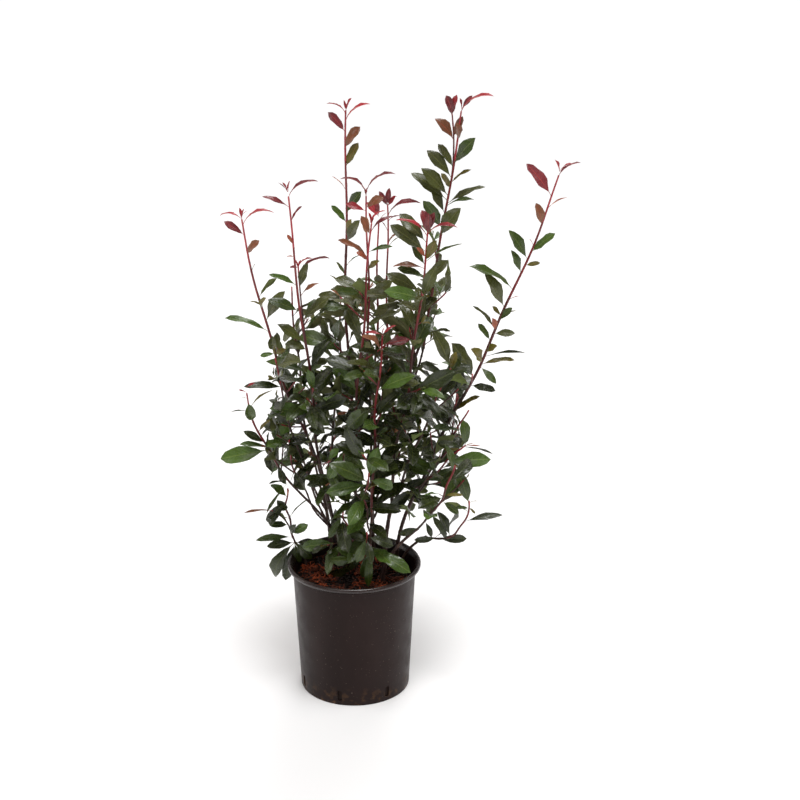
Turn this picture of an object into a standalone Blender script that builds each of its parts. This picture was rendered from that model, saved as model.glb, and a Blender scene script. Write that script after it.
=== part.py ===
"""A young photinia shrub in a plain nursery pot, in metres, with +Z up.

The origin is the centre of the pot's flat underside. +X is to the right of the shrub's
front, and +Y is towards its back. Ten thin trunks stand in the soil, boughs leave them, and
each mass of foliage is one shoot with its side twigs and leaves joined into one solid.
"""

import math
import random
from dataclasses import dataclass

import bmesh
import bpy
from mathutils import Quaternion, Vector
from mathutils.bvhtree import BVHTree

# Gap between solids that meet
GAP = 0.0003

# Pot
POT_HEIGHT = 0.280
POT_FOOT_RADIUS = 0.115
POT_BODY_RADIUS = 0.1285
POT_LIP_RADIUS = 0.140
POT_LIP_DEPTH = 0.011
POT_LIP_ROUND = 0.0015
POT_WALL = 0.0020
POT_FLOOR = 0.0030
POT_SIDES = 40
SLOT_COUNT = 7
SLOT_WIDTH = 0.0095
SLOT_HEIGHT = 0.024
SLOT_MIDDLE_Z = 0.022
SLOT_FIRST_ANGLE = math.radians(-105)
SLOT_ARC_STEPS = 4

# Soil
SOIL_TOP = 0.248
SOIL_EDGE = 0.004

# Limbs
TRUNK_SIDES = 8
BOUGH_SIDES = 6
TWIG_SIDES = 3
RING_SPACING = 0.060
FLARE_HEIGHT = 0.012
FLARE_SHARE = 0.55
FLARE_RINGS = (0.005, 0.013)
WAVER = 0.0035
WAVER_TURNS = 2.2
CURVE_STEPS = 40
HEADING_STEP = 0.0125
ABOVE_FOOT = 0.02
FIRST_ACROSS = Vector((0.31, 1.0, 0.12))

# Growth of a shoot, measured back from its tip
STEM_SHORT_OF_TIP = 0.030
SHOOT_END_RADIUS = 0.0013
TWIG_FOOT_RADIUS = 0.0018
TWIG_END_RADIUS = 0.0012
SPIRAL = math.radians(144)
SPIRAL_JITTER = 0.25
CLOSE_STEP = 0.015
WIDE_STEP = 0.050
YOUNG_ZONE = 0.12
TWIG_SPACING = 0.112
TWIG_LENGTHS = (0.055, 0.095)
TWIG_ANGLE = math.radians(52)
TWIG_RISE = 0.12
TWIG_BEND = 0.55
FORK_LEAN = 0.5
TWIG_JITTER = 0.15
FOOT_CLEAR = 0.014

# Leaves
YOUNG_LENGTH = 0.050
GROWN_LENGTH = 0.088
LENGTH_JITTER = 0.14
YOUNG_WIDTH_SHARE = 0.30
GROWN_WIDTH_SHARE = 0.46
LEAF_THICKNESS_SHARE = 0.030
LEAF_FOLD_SHARE = 0.16
LEAF_WIDEST = 0.50
LEAF_ROOT_HALF = 0.0007
TIP_LEAF_SINK = 0.005
TIP_ANGLE = math.radians(7)
YOUNG_ANGLE = math.radians(46)
GROWN_ANGLE = math.radians(70)
DROOP = 0.28
DROOP_JITTER = 0.7
LIGHT_UP = 0.45
LIGHT_OUT = 0.95
LIGHT_JITTER = 0.45
CLEARANCE = 0.0007
TRIES = 4
TRY_TURN = math.radians(47)


@dataclass
class Trunk:
    """A stem that stands on the soil: its foot, its top and its radius at each."""

    name: str
    foot: tuple
    top: tuple
    foot_radius: float
    top_radius: float


@dataclass
class Shoot:
    """A stem that leaves a trunk and bears a mass of foliage.

    The stem starts at the share `leaves_at` of its trunk, passes its knee and reaches its
    tip. Its first share `bare` is a bough of its own, and the rest is the foliage. Each
    fork is a long side stem: the share where it leaves, and its tip. `thin` widens the
    space between leaves, and side twigs start at `twigs_from` behind the tip.
    """

    name: str
    trunk: str
    knee: tuple
    tip: tuple
    radius: float
    bare: float = 0.0
    leaves_at: float = 0.97
    forks: tuple = ()
    thin: float = 1.0
    twigs_from: float = 0.14
    spread: float = 0.115


TRUNKS = (
    Trunk("left", (-0.030, 0.075), (-0.043, 0.085, 0.319), 0.0050, 0.0042),
    Trunk("middle", (0.000, 0.036), (0.006, 0.030, 0.394), 0.0048, 0.0038),
    Trunk("right", (0.062, 0.010), (0.081, 0.036, 0.405), 0.0050, 0.0038),
    Trunk("front", (0.032, -0.002), (0.038, -0.034, 0.392), 0.0036, 0.0026),
    Trunk("front_right", (0.060, -0.030), (0.134, -0.040, 0.372), 0.0038, 0.0028),
    Trunk("far_right", (0.088, 0.052), (0.142, 0.043, 0.440), 0.0044, 0.0036),
    Trunk("back", (0.038, 0.078), (0.036, 0.096, 0.385), 0.0048, 0.0038),
    Trunk("back_left", (-0.052, 0.098), (-0.068, 0.124, 0.372), 0.0042, 0.0034),
    Trunk("low_left", (-0.106, 0.048), (-0.127, 0.045, 0.303), 0.0034, 0.0026),
    Trunk("low_right", (0.100, 0.048), (0.152, 0.040, 0.318), 0.0034, 0.0026),
)

SHOOTS = (
    Shoot(
        "outer_left",
        "left",
        knee=(-0.118, 0.000, 0.665),
        tip=(-0.212, -0.060, 1.058),
        radius=0.0032,
        bare=0.24,
        forks=((0.50, (-0.268, -0.030, 0.822)),),
        thin=1.15,
        twigs_from=0.36,
    ),
    Shoot(
        "tall_left",
        "left",
        knee=(-0.082, -0.050, 0.640),
        tip=(-0.116, -0.120, 1.120),
        radius=0.0032,
        bare=0.18,
        forks=((0.38, (-0.090, -0.130, 0.690)), (0.55, (-0.100, -0.095, 0.962))),
        thin=1.15,
        twigs_from=0.34,
    ),
    Shoot(
        "low_left_bow",
        "left",
        knee=(-0.150, 0.012, 0.494),
        tip=(-0.212, -0.060, 0.700),
        radius=0.0028,
        bare=0.26,
        leaves_at=0.90,
        forks=((0.50, (-0.282, -0.020, 0.520)),),
        thin=0.9,
    ),
    Shoot(
        "left_middle",
        "left",
        knee=(-0.114, -0.040, 0.560),
        tip=(-0.152, -0.100, 0.790),
        radius=0.0026,
        leaves_at=0.50,
        thin=0.9,
    ),
    Shoot(
        "front_left",
        "left",
        knee=(-0.108, 0.000, 0.452),
        tip=(-0.127, -0.085, 0.606),
        radius=0.0021,
        leaves_at=0.72,
    ),
    Shoot(
        "tall_middle",
        "middle",
        knee=(-0.010, 0.048, 0.770),
        tip=(-0.008, 0.040, 1.251),
        radius=0.0034,
        bare=0.12,
        thin=1.1,
        twigs_from=0.40,
    ),
    Shoot(
        "front_middle",
        "middle",
        knee=(0.004, -0.040, 0.620),
        tip=(0.046, -0.140, 1.070),
        radius=0.0030,
        bare=0.14,
        leaves_at=0.94,
        twigs_from=0.22,
    ),
    Shoot(
        "front_low",
        "middle",
        knee=(-0.022, -0.010, 0.455),
        tip=(-0.008, -0.078, 0.588),
        radius=0.0021,
        leaves_at=0.60,
    ),
    Shoot(
        "foot_left",
        "middle",
        knee=(-0.022, -0.012, 0.350),
        tip=(-0.048, -0.070, 0.410),
        radius=0.0020,
        leaves_at=0.34,
        thin=0.7,
    ),
    Shoot(
        "front_red",
        "front",
        knee=(0.044, -0.075, 0.560),
        tip=(0.065, -0.125, 0.828),
        radius=0.0026,
        thin=0.9,
    ),
    Shoot(
        "front_foot",
        "front",
        knee=(0.036, -0.060, 0.430),
        tip=(0.045, -0.140, 0.520),
        radius=0.0020,
        leaves_at=0.70,
        thin=0.8,
    ),
    Shoot(
        "low_front",
        "front",
        knee=(0.042, -0.045, 0.322),
        tip=(0.046, -0.118, 0.392),
        radius=0.0019,
        leaves_at=0.40,
        thin=0.7,
    ),
    Shoot(
        "right_front",
        "right",
        knee=(0.100, -0.062, 0.700),
        tip=(0.152, -0.140, 1.064),
        radius=0.0030,
        bare=0.14,
        thin=0.85,
    ),
    Shoot(
        "tall_right",
        "right",
        knee=(0.124, 0.040, 0.850),
        tip=(0.216, 0.030, 1.250),
        radius=0.0034,
        bare=0.16,
        leaves_at=0.93,
        forks=((0.78, (0.192, 0.060, 1.246)),),
        thin=0.85,
        twigs_from=0.20,
    ),
    Shoot(
        "right_side",
        "right",
        knee=(0.166, -0.002, 0.480),
        tip=(0.243, -0.060, 0.580),
        radius=0.0027,
        bare=0.40,
        leaves_at=0.86,
        thin=0.8,
    ),
    Shoot(
        "right_middle",
        "right",
        knee=(0.146, -0.042, 0.600),
        tip=(0.205, -0.075, 0.780),
        radius=0.0026,
        leaves_at=0.80,
        thin=0.8,
    ),
    Shoot(
        "low_front_right",
        "front_right",
        knee=(0.176, -0.062, 0.440),
        tip=(0.208, -0.100, 0.560),
        radius=0.0024,
        thin=0.8,
    ),
    Shoot(
        "far_right",
        "far_right",
        knee=(0.262, -0.002, 0.765),
        tip=(0.400, -0.030, 1.137),
        radius=0.0034,
        bare=0.12,
        thin=0.9,
        twigs_from=0.34,
    ),
    Shoot(
        "far_right_low",
        "far_right",
        knee=(0.222, -0.008, 0.580),
        tip=(0.290, -0.035, 0.700),
        radius=0.0025,
        leaves_at=0.88,
        thin=0.8,
    ),
    Shoot(
        "middle_back",
        "back",
        knee=(0.033, 0.010, 0.760),
        tip=(0.031, -0.040, 1.100),
        radius=0.0028,
        bare=0.16,
        twigs_from=0.24,
    ),
    Shoot(
        "pale_back",
        "back",
        knee=(0.044, 0.165, 0.660),
        tip=(0.053, 0.200, 0.992),
        radius=0.0028,
        bare=0.14,
        leaves_at=0.92,
    ),
    Shoot(
        "right_back",
        "back",
        knee=(0.066, 0.105, 0.700),
        tip=(0.070, 0.080, 1.054),
        radius=0.0028,
        bare=0.20,
        leaves_at=0.86,
        twigs_from=0.20,
    ),
    Shoot(
        "back_middle",
        "back_left",
        knee=(-0.040, 0.200, 0.560),
        tip=(-0.030, 0.235, 0.830),
        radius=0.0027,
        bare=0.14,
    ),
    Shoot(
        "back_left_high",
        "back_left",
        knee=(-0.118, 0.160, 0.590),
        tip=(-0.142, 0.165, 0.880),
        radius=0.0027,
        bare=0.14,
        leaves_at=0.90,
    ),
    Shoot(
        "back_left_low",
        "back_left",
        knee=(-0.140, 0.160, 0.455),
        tip=(-0.205, 0.135, 0.640),
        radius=0.0025,
        leaves_at=0.78,
    ),
    Shoot(
        "low_back",
        "back_left",
        knee=(-0.060, 0.170, 0.395),
        tip=(-0.035, 0.235, 0.520),
        radius=0.0022,
        leaves_at=0.55,
    ),
    Shoot(
        "back_right_high",
        "back",
        knee=(0.120, 0.165, 0.600),
        tip=(0.172, 0.180, 0.850),
        radius=0.0027,
        bare=0.14,
        leaves_at=0.78,
    ),
    Shoot(
        "back_right_low",
        "back",
        knee=(0.090, 0.170, 0.430),
        tip=(0.130, 0.230, 0.570),
        radius=0.0024,
        leaves_at=0.62,
    ),
    Shoot(
        "far_right_back",
        "far_right",
        knee=(0.205, 0.100, 0.500),
        tip=(0.245, 0.140, 0.670),
        radius=0.0025,
        leaves_at=0.80,
    ),
    Shoot(
        "low_left",
        "low_left",
        knee=(-0.140, 0.034, 0.380),
        tip=(-0.135, 0.018, 0.462),
        radius=0.0022,
        forks=((0.04, (-0.186, -0.012, 0.338)), (0.30, (-0.190, 0.000, 0.420))),
        thin=0.6,
    ),
    Shoot(
        "low_right",
        "low_right",
        knee=(0.205, 0.006, 0.350),
        tip=(0.236, -0.022, 0.462),
        radius=0.0022,
        forks=((0.10, (0.222, -0.030, 0.345)),),
        thin=0.6,
    ),
)

SHARED_SEED = 41


class Line:
    """A smooth curve from a start to a tip with a radius that tapers along it."""

    def __init__(self, start, control, tip, start_radius, tip_radius, waver=0.0, seed=0):
        """Keep the three points of the curve, its radii and its waver."""
        self.start = Vector(start)
        self.control = Vector(control)
        self.tip = Vector(tip)
        self.start_radius = start_radius
        self.tip_radius = tip_radius
        self.waver = waver
        chance = random.Random(seed)
        self.phases = [chance.uniform(0, math.tau) for _ in range(2)]
        points = [self.at(step / CURVE_STEPS) for step in range(CURVE_STEPS + 1)]
        self.length = sum((b - a).length for a, b in zip(points, points[1:]))

    def at(self, share):
        """Return the point at this share of the curve."""
        rest = 1 - share
        point = self.start * rest * rest
        point += self.control * (2 * share * rest)
        point += self.tip * share * share
        swing = self.waver * math.sin(math.pi * share)
        wave = WAVER_TURNS * math.tau * share
        point.x += swing * math.sin(wave + self.phases[0])
        point.y += swing * math.sin(wave + self.phases[1])
        return point

    def heading(self, share):
        """Return the unit direction of the curve at this share."""
        step = HEADING_STEP
        return (self.at(share + step) - self.at(share - step)).normalized()

    def radius(self, share):
        """Return the radius at this share."""
        return self.start_radius + (self.tip_radius - self.start_radius) * share


def through_knee(start, knee, tip):
    """Return the control point of the parabola from start to tip that passes the knee."""
    start, knee, tip = Vector(start), Vector(knee), Vector(tip)
    before = (knee - start).length
    share = before / (before + (tip - knee).length)
    rest = 1 - share
    return (knee - start * rest * rest - tip * share * share) / (2 * share * rest)


def material(name, colour, roughness, metallic=0.0):
    """Return a plain Principled material."""
    made = bpy.data.materials.new(name)
    made.use_nodes = True
    shader = made.node_tree.nodes["Principled BSDF"]
    shader.inputs["Base Color"].default_value = (*colour, 1.0)
    shader.inputs["Roughness"].default_value = roughness
    shader.inputs["Metallic"].default_value = metallic
    return made


def object_from(name, form, finish, smooth=True):
    """Write the bmesh to a new object of the scene and free it."""
    mesh = bpy.data.meshes.new(name)
    form.to_mesh(mesh)
    form.free()
    if smooth:
        mesh.shade_smooth()
    if finish:
        mesh.materials.append(finish)
    made = bpy.data.objects.new(name, mesh)
    bpy.context.scene.collection.objects.link(made)
    return made


def remove(made):
    """Take an object and its mesh out of the file."""
    mesh = made.data
    bpy.data.objects.remove(made)
    bpy.data.meshes.remove(mesh)


def add_loft(form, rings):
    """Join rings of points into one closed tube with a flat cap at each end."""
    rows = [[form.verts.new(point) for point in ring] for ring in rings]
    sides = len(rows[0])
    for low, high in zip(rows, rows[1:]):
        for side in range(sides):
            after = (side + 1) % sides
            form.faces.new((low[side], low[after], high[after], high[side]))
    form.faces.new(rows[0][::-1])
    form.faces.new(rows[-1])


def tube_rings(stations, sides):
    """Return a ring of points round each station, turned along the curve without twist.

    Each station is a centre, a heading and a radius.
    """
    rings = []
    across = None
    before = None
    for centre, heading, radius in stations:
        if across is None:
            across = heading.cross(FIRST_ACROSS).normalized()
        else:
            across.rotate(before.rotation_difference(heading))
            across = (across - heading * across.dot(heading)).normalized()
        before = heading
        turn = Quaternion(heading, math.tau / sides)
        spoke = across.copy()
        ring = []
        for _ in range(sides):
            ring.append(centre + spoke * radius)
            spoke.rotate(turn)
        rings.append(ring)
    return rings


def line_stations(line, first, last, extra=0.0):
    """Return the stations of a line between two shares of it, this much fatter."""
    count = max(3, round(line.length * (last - first) / RING_SPACING) + 1)
    found = []
    for step in range(count):
        share = first + (last - first) * step / (count - 1)
        found.append((line.at(share), line.heading(share), line.radius(share) + extra))
    return found


def line_tube(line, first, last, sides, extra=0.0):
    """Return a bmesh tube along part of a line."""
    form = bmesh.new()
    add_loft(form, tube_rings(line_stations(line, first, last, extra), sides))
    return form


def applied(made):
    """Replace an object's mesh with what its modifiers make of it."""
    graph = bpy.context.evaluated_depsgraph_get()
    mesh = bpy.data.meshes.new_from_object(made.evaluated_get(graph))
    old = made.data
    made.modifiers.clear()
    made.data = mesh
    bpy.data.meshes.remove(old)


def shells(form):
    """Return the connected pieces of a bmesh, each as a list of its vertices."""
    unseen = set(form.verts)
    found = []
    while unseen:
        waiting = [unseen.pop()]
        piece = []
        while waiting:
            vertex = waiting.pop()
            piece.append(vertex)
            for edge in vertex.link_edges:
                other = edge.other_vert(vertex)
                if other in unseen:
                    unseen.remove(other)
                    waiting.append(other)
        found.append(piece)
    return found


def keep_largest(made):
    """Drop loose scraps and the walls of sealed hollows: the largest shell stays."""
    form = bmesh.new()
    form.from_mesh(made.data)
    pieces = sorted(shells(form), key=len)
    loose = [vertex for piece in pieces[:-1] for vertex in piece]
    bmesh.ops.delete(form, geom=loose, context="VERTS")
    form.to_mesh(made.data)
    form.free()


def boolean(made, cutters, operation, solver="EXACT"):
    """Join the cutters to an object or cut them from it, and apply and remove them."""
    group = bpy.data.collections.new("operands")
    bpy.context.scene.collection.children.link(group)
    for cutter in cutters:
        for home in list(cutter.users_collection):
            home.objects.unlink(cutter)
        group.objects.link(cutter)
    change = made.modifiers.new("boolean", "BOOLEAN")
    change.operation = operation
    change.solver = solver
    change.operand_type = "COLLECTION"
    change.collection = group
    applied(made)
    for cutter in cutters:
        remove(cutter)
    bpy.data.collections.remove(group)
    keep_largest(made)


def turned(name, profile, finish):
    """Spin a profile of (radius, height) points, which starts and ends on the axis."""
    form = bmesh.new()
    points = [form.verts.new((radius, 0, height)) for radius, height in profile]
    for low, high in zip(points, points[1:]):
        form.edges.new((low, high))
    bmesh.ops.spin(
        form,
        geom=form.verts[:] + form.edges[:],
        axis=(0, 0, 1),
        cent=(0, 0, 0),
        angle=math.tau,
        steps=POT_SIDES,
        use_merge=True,
    )
    bmesh.ops.remove_doubles(form, verts=form.verts, dist=0.00001)
    bmesh.ops.recalc_face_normals(form, faces=form.faces)
    made = object_from(name, form, finish)
    made.data.set_sharp_from_angle(angle=math.radians(35))
    return made


def inner_radius(height):
    """Return the radius of the pot's inner wall at this height."""
    top = POT_HEIGHT - POT_LIP_DEPTH
    share = (height - POT_FLOOR) / (top - POT_FLOOR)
    foot = POT_FOOT_RADIUS - POT_WALL
    return foot + (POT_BODY_RADIUS - POT_WALL - foot) * share


def slot_cutter(angle):
    """Return a cutter with round ends that crosses the pot's wall at this angle."""
    outline = []
    rise = (SLOT_HEIGHT - SLOT_WIDTH) / 2
    for end, middle in ((0.0, rise), (math.pi, -rise)):
        for step in range(SLOT_ARC_STEPS + 1):
            turn = end + math.pi * step / SLOT_ARC_STEPS
            outline.append(
                (
                    math.cos(turn) * SLOT_WIDTH / 2,
                    SLOT_MIDDLE_Z + middle + math.sin(turn) * SLOT_WIDTH / 2,
                )
            )
    out = Vector((math.cos(angle), math.sin(angle), 0))
    side = Vector((-math.sin(angle), math.cos(angle), 0))
    rings = []
    for distance in (POT_FOOT_RADIUS - 4 * POT_WALL, POT_FOOT_RADIUS + 4 * POT_WALL):
        rings.append([out * distance + side * x + Vector((0, 0, z)) for x, z in outline])
    form = bmesh.new()
    add_loft(form, rings)
    bmesh.ops.recalc_face_normals(form, faces=form.faces)
    return object_from("slot", form, None)


def make_pot():
    """Make the pot: a tapering wall, a turned-out lip, a floor and drainage slots."""
    finish = material("pot plastic", (0.026, 0.020, 0.018), 0.42)
    lip_foot = POT_HEIGHT - POT_LIP_DEPTH
    rounded = POT_LIP_ROUND
    profile = (
        (0, 0),
        (POT_FOOT_RADIUS - rounded, 0),
        (POT_FOOT_RADIUS, rounded),
        (POT_BODY_RADIUS, lip_foot),
        (POT_LIP_RADIUS - rounded / 2, lip_foot),
        (POT_LIP_RADIUS, lip_foot + rounded),
        (POT_LIP_RADIUS, POT_HEIGHT - rounded),
        (POT_LIP_RADIUS - rounded, POT_HEIGHT),
        (POT_LIP_RADIUS - 2 * POT_WALL, POT_HEIGHT),
        (POT_BODY_RADIUS - POT_WALL / 2, lip_foot + POT_WALL),
        (inner_radius(lip_foot - POT_WALL), lip_foot - POT_WALL),
        (inner_radius(POT_FLOOR), POT_FLOOR),
        (0, POT_FLOOR),
    )
    pot = turned("pot", profile, finish)
    turns = [SLOT_FIRST_ANGLE + math.tau * index / SLOT_COUNT for index in range(SLOT_COUNT)]
    boolean(pot, [slot_cutter(turn) for turn in turns], "DIFFERENCE")
    pot.data.set_sharp_from_angle(angle=math.radians(35))
    return pot


def make_soil():
    """Make the soil that fills the pot up to a flat top."""
    finish = material("bark mulch", (0.085, 0.030, 0.016), 0.9)
    bottom = POT_FLOOR + GAP
    shoulder = SOIL_TOP - SOIL_EDGE
    profile = (
        (0, bottom),
        (inner_radius(bottom) - 2 * GAP, bottom),
        (inner_radius(shoulder) - 2 * GAP, shoulder),
        (inner_radius(SOIL_TOP) - SOIL_EDGE, SOIL_TOP),
        (0, SOIL_TOP),
    )
    return turned("soil", profile, finish)


def trunk_line(trunk):
    """Return the line of a trunk, which leaves the soil upright and leans to its top."""
    foot = Vector((*trunk.foot, SOIL_TOP + GAP))
    top = Vector(trunk.top)
    control = Vector((foot.x, foot.y, (foot.z + top.z) / 2))
    return Line(foot, control, top, trunk.foot_radius, trunk.top_radius)


def flared_radius(line, share):
    """Return the radius of a trunk with its root flare, which dies away above the foot."""
    flare = line.start_radius * FLARE_SHARE
    return line.radius(share) + flare * math.exp(-share * line.length / FLARE_HEIGHT)


def make_trunk(trunk, line, finish):
    """Make a trunk with a root flare and a flat cut where it stands on the soil."""
    stations = [(line.at(0), Vector((0, 0, 1)), flared_radius(line, 0))]
    for height in FLARE_RINGS:
        share = height / line.length
        stations.append((line.at(share), line.heading(share), flared_radius(line, share)))
    stations += line_stations(line, 0.0, 1.0)[1:]
    form = bmesh.new()
    add_loft(form, tube_rings(stations, TRUNK_SIDES))
    return object_from("trunk_" + trunk.name, form, finish)


def shoot_line(shoot, trunk, seed):
    """Return the line of a shoot from the heart of its trunk to its tip."""
    start = trunk.at(shoot.leaves_at)
    control = through_knee(start, shoot.knee, shoot.tip)
    return Line(start, control, shoot.tip, shoot.radius, SHOOT_END_RADIUS, WAVER, seed)


class Leaf:
    """One leaf: a folded, tapering blade of eight faces with its root sunk in a twig."""

    FACES = (
        (0, 2, 4),
        (0, 4, 3),
        (4, 2, 5),
        (4, 5, 3),
        (1, 5, 2),
        (1, 3, 5),
        (0, 1, 2),
        (0, 3, 1),
    )

    def __init__(self, root, out, upper, length, width):
        """Place the leaf's root, its direction, the side it turns up and its size."""
        self.root = root
        self.out = out
        self.upper = (upper - out * upper.dot(out)).normalized()
        self.length = length
        self.width = width

    def points(self, margin=0.0):
        """Return the six corners of the blade, grown all round by the margin."""
        across = self.out.cross(self.upper)
        up = self.upper
        half = self.width / 2 + margin
        thick = self.length * LEAF_THICKNESS_SHARE + 2 * margin
        fold = self.width * LEAF_FOLD_SHARE
        widest = self.root + self.out * (self.length * LEAF_WIDEST)
        tip = self.root + self.out * (self.length + margin)
        under = up * -margin
        return [
            self.root + up * LEAF_ROOT_HALF,
            self.root - up * LEAF_ROOT_HALF + under,
            widest + across * half + up * fold,
            widest - across * half + up * fold,
            widest + up * thick + under,
            tip + under,
        ]


class Clashes:
    """What stands already, so that nothing new runs into it."""

    def __init__(self):
        """Start with nothing standing."""
        self.standing = []

    def add(self, owner, points, faces):
        """Add a solid that belongs to the named owner."""
        points = [Vector(point) for point in points]
        middle = sum(points, Vector()) / len(points)
        reach = max((point - middle).length for point in points)
        self.standing.append((owner, middle, reach, BVHTree.FromPolygons(points, faces)))

    def add_object(self, made, owner=""):
        """Add an object of the scene."""
        mesh = made.data
        points = [vertex.co.copy() for vertex in mesh.vertices]
        self.add(owner, points, [tuple(face.vertices) for face in mesh.polygons])

    def free(self, points, faces, besides):
        """Tell whether a new solid meets nothing, besides the named owner."""
        middle = sum(points, Vector()) / len(points)
        reach = max((point - middle).length for point in points)
        new = BVHTree.FromPolygons(points, faces)
        for owner, centre, size, tree in self.standing:
            if owner == besides or (centre - middle).length > reach + size:
                continue
            if new.overlap(tree):
                return False
        return True


def leaf_at(line, share, turn, behind, chance):
    """Return the leaf that grows from a line at this share, turned this far round it.

    The distance behind the tip gives its age: young leaves are short, narrow and steep, and
    the one at the very tip goes on along the stem. A leaf turns its upper side up and
    outward, to the light.
    """
    age = min(1.0, behind / YOUNG_ZONE)
    length = YOUNG_LENGTH + (GROWN_LENGTH - YOUNG_LENGTH) * age
    length *= 1 + chance.uniform(-LENGTH_JITTER, LENGTH_JITTER)
    width = length * (YOUNG_WIDTH_SHARE + (GROWN_WIDTH_SHARE - YOUNG_WIDTH_SHARE) * age)
    angle = YOUNG_ANGLE + (GROWN_ANGLE - YOUNG_ANGLE) * age
    if behind == 0:
        angle = TIP_ANGLE
        length = (STEM_SHORT_OF_TIP + TIP_LEAF_SINK) / math.cos(TIP_ANGLE)
    along = line.heading(min(share, 1 - 1 / CURVE_STEPS))
    spoke = along.orthogonal().normalized()
    spoke.rotate(Quaternion(along, turn))
    out = along * math.cos(angle) + spoke * math.sin(angle)
    out.z -= DROOP * age * (1 + chance.uniform(-DROOP_JITTER, DROOP_JITTER))
    out.normalize()
    root = line.at(share)
    upper = along + Vector((root.x, root.y, 0)).normalized() * LIGHT_OUT
    upper += Vector([chance.gauss(0, LIGHT_JITTER) for _ in range(3)])
    upper.z += LIGHT_UP
    return Leaf(root, out, upper, length, width)


class Mass:
    """One mass of foliage while it grows: its stems first, and then its leaves."""

    def __init__(self, shoot, line, clashes, seed):
        """Start the mass at the end of its bough, or at its trunk."""
        self.shoot = shoot
        self.line = line
        self.clashes = clashes
        self.name = "foliage_" + shoot.name
        self.chance = random.Random(seed)
        self.stems = []
        self.nodes = [line.at(step / CURVE_STEPS) for step in range(CURVE_STEPS + 1)]
        self.nodes += [Vector(tip) for _, tip in shoot.forks]

    def first_share(self):
        """Return the share of the line at which the foliage's stem starts."""
        if self.shoot.bare:
            return self.shoot.bare + GAP / self.line.length
        return 0.0

    def holds(self, points):
        """Tell whether every point is in the mass's own space, near its stems."""
        for point in points:
            near = min((point - node).length for node in self.nodes)
            if near > self.shoot.spread or point.z > self.line.tip.z + GAP:
                return False
        return True

    def add_stem(self, finish):
        """Make the stem of the whole mass and return its object."""
        first = self.first_share()
        last = 1 - STEM_SHORT_OF_TIP / self.line.length
        form = line_tube(self.line, first, last, TWIG_SIDES)
        made = object_from(self.name, form, finish)
        self.stems.append((self.line, first, last))
        return made

    def add_twig(self, twig):
        """Add a side stem if it stays in the space and meets nothing."""
        last = 1 - STEM_SHORT_OF_TIP / twig.length
        rings = tube_rings(line_stations(twig, 0.0, last), TWIG_SIDES)
        wide = tube_rings(line_stations(twig, 0.0, last, CLEARANCE), TWIG_SIDES)
        probe = bmesh.new()
        add_loft(probe, wide)
        probe.verts.index_update()
        points = [vertex.co.copy() for vertex in probe.verts]
        faces = [[vertex.index for vertex in face.verts] for face in probe.faces]
        probe.free()
        if not self.clashes.free(points, faces, self.name + " stem"):
            return None
        self.clashes.add(self.name + " twig", points, faces)
        self.stems.append((twig, 0.0, last))
        form = bmesh.new()
        add_loft(form, rings)
        return object_from("twig", form, None)

    def grow_twigs(self):
        """Add the forks, and a side twig at even steps below the young zone."""
        made = []
        for share, tip in self.shoot.forks:
            start = self.line.at(share)
            lean = self.line.heading(share) * ((Vector(tip) - start).length * FORK_LEAN)
            twig = Line(start, start + lean, tip, TWIG_FOOT_RADIUS, TWIG_END_RADIUS)
            made.append(self.add_twig(twig))
        behind = self.shoot.twigs_from
        turn = self.chance.uniform(0, math.tau)
        whole = self.line.length * (1 - self.first_share())
        while behind < whole - FOOT_CLEAR:
            share = 1 - behind / self.line.length
            length = self.chance.uniform(*TWIG_LENGTHS)
            for _ in range(TRIES):
                twig = self.side_twig(share, turn, length)
                turn += TRY_TURN
                added = self.add_twig(twig)
                if added:
                    made.append(added)
                    break
            turn += SPIRAL
            behind += TWIG_SPACING * (1 + self.chance.uniform(-TWIG_JITTER, TWIG_JITTER))
        return [twig for twig in made if twig]

    def side_twig(self, share, turn, length):
        """Return the line of a side twig that bends up from the stem."""
        start = self.line.at(share)
        along = self.line.heading(share)
        spoke = along.orthogonal().normalized()
        spoke.rotate(Quaternion(along, turn))
        out = along * math.cos(TWIG_ANGLE) + spoke * math.sin(TWIG_ANGLE)
        reach = out * length
        tip = start + reach + Vector((0, 0, TWIG_RISE * length))
        return Line(start, start + reach * TWIG_BEND, tip, TWIG_FOOT_RADIUS, TWIG_END_RADIUS)

    def grow_leaves(self):
        """Set leaves round each stem, from its tip back, in a spiral."""
        made = []
        for number, (line, first, last) in enumerate(self.stems):
            turn = self.chance.uniform(0, math.tau)
            self.try_leaf(made, line, last - TIP_LEAF_SINK / line.length, turn, 0.0, number)
            behind = STEM_SHORT_OF_TIP + CLOSE_STEP / 2
            while behind < line.length * (1 - first) - FOOT_CLEAR:
                share = 1 - behind / line.length
                age = min(1.0, behind / YOUNG_ZONE)
                for attempt in range(TRIES):
                    swing = attempt * TRY_TURN
                    if self.try_leaf(made, line, share, turn + swing, behind, number):
                        break
                turn += SPIRAL + self.chance.uniform(-SPIRAL_JITTER, SPIRAL_JITTER)
                behind += self.shoot.thin * (CLOSE_STEP + (WIDE_STEP - CLOSE_STEP) * age)
        return made

    def try_leaf(self, made, line, share, turn, behind, number):
        """Add one leaf if it stays in the space and meets nothing but its own stem."""
        leaf = leaf_at(line, share, turn, behind, self.chance)
        grown = leaf.points(CLEARANCE)
        if not self.holds(grown):
            return False
        besides = self.name + (" stem" if number == 0 else " twig")
        if not self.clashes.free(grown, Leaf.FACES, besides):
            return False
        self.clashes.add(self.name + " leaf", leaf.points(), Leaf.FACES)
        form = bmesh.new()
        corners = [form.verts.new(point) for point in leaf.points()]
        for face in Leaf.FACES:
            form.faces.new([corners[index] for index in face])
        bmesh.ops.recalc_face_normals(form, faces=form.faces)
        made.append(object_from("leaf", form, None, smooth=False))
        return True


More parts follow.
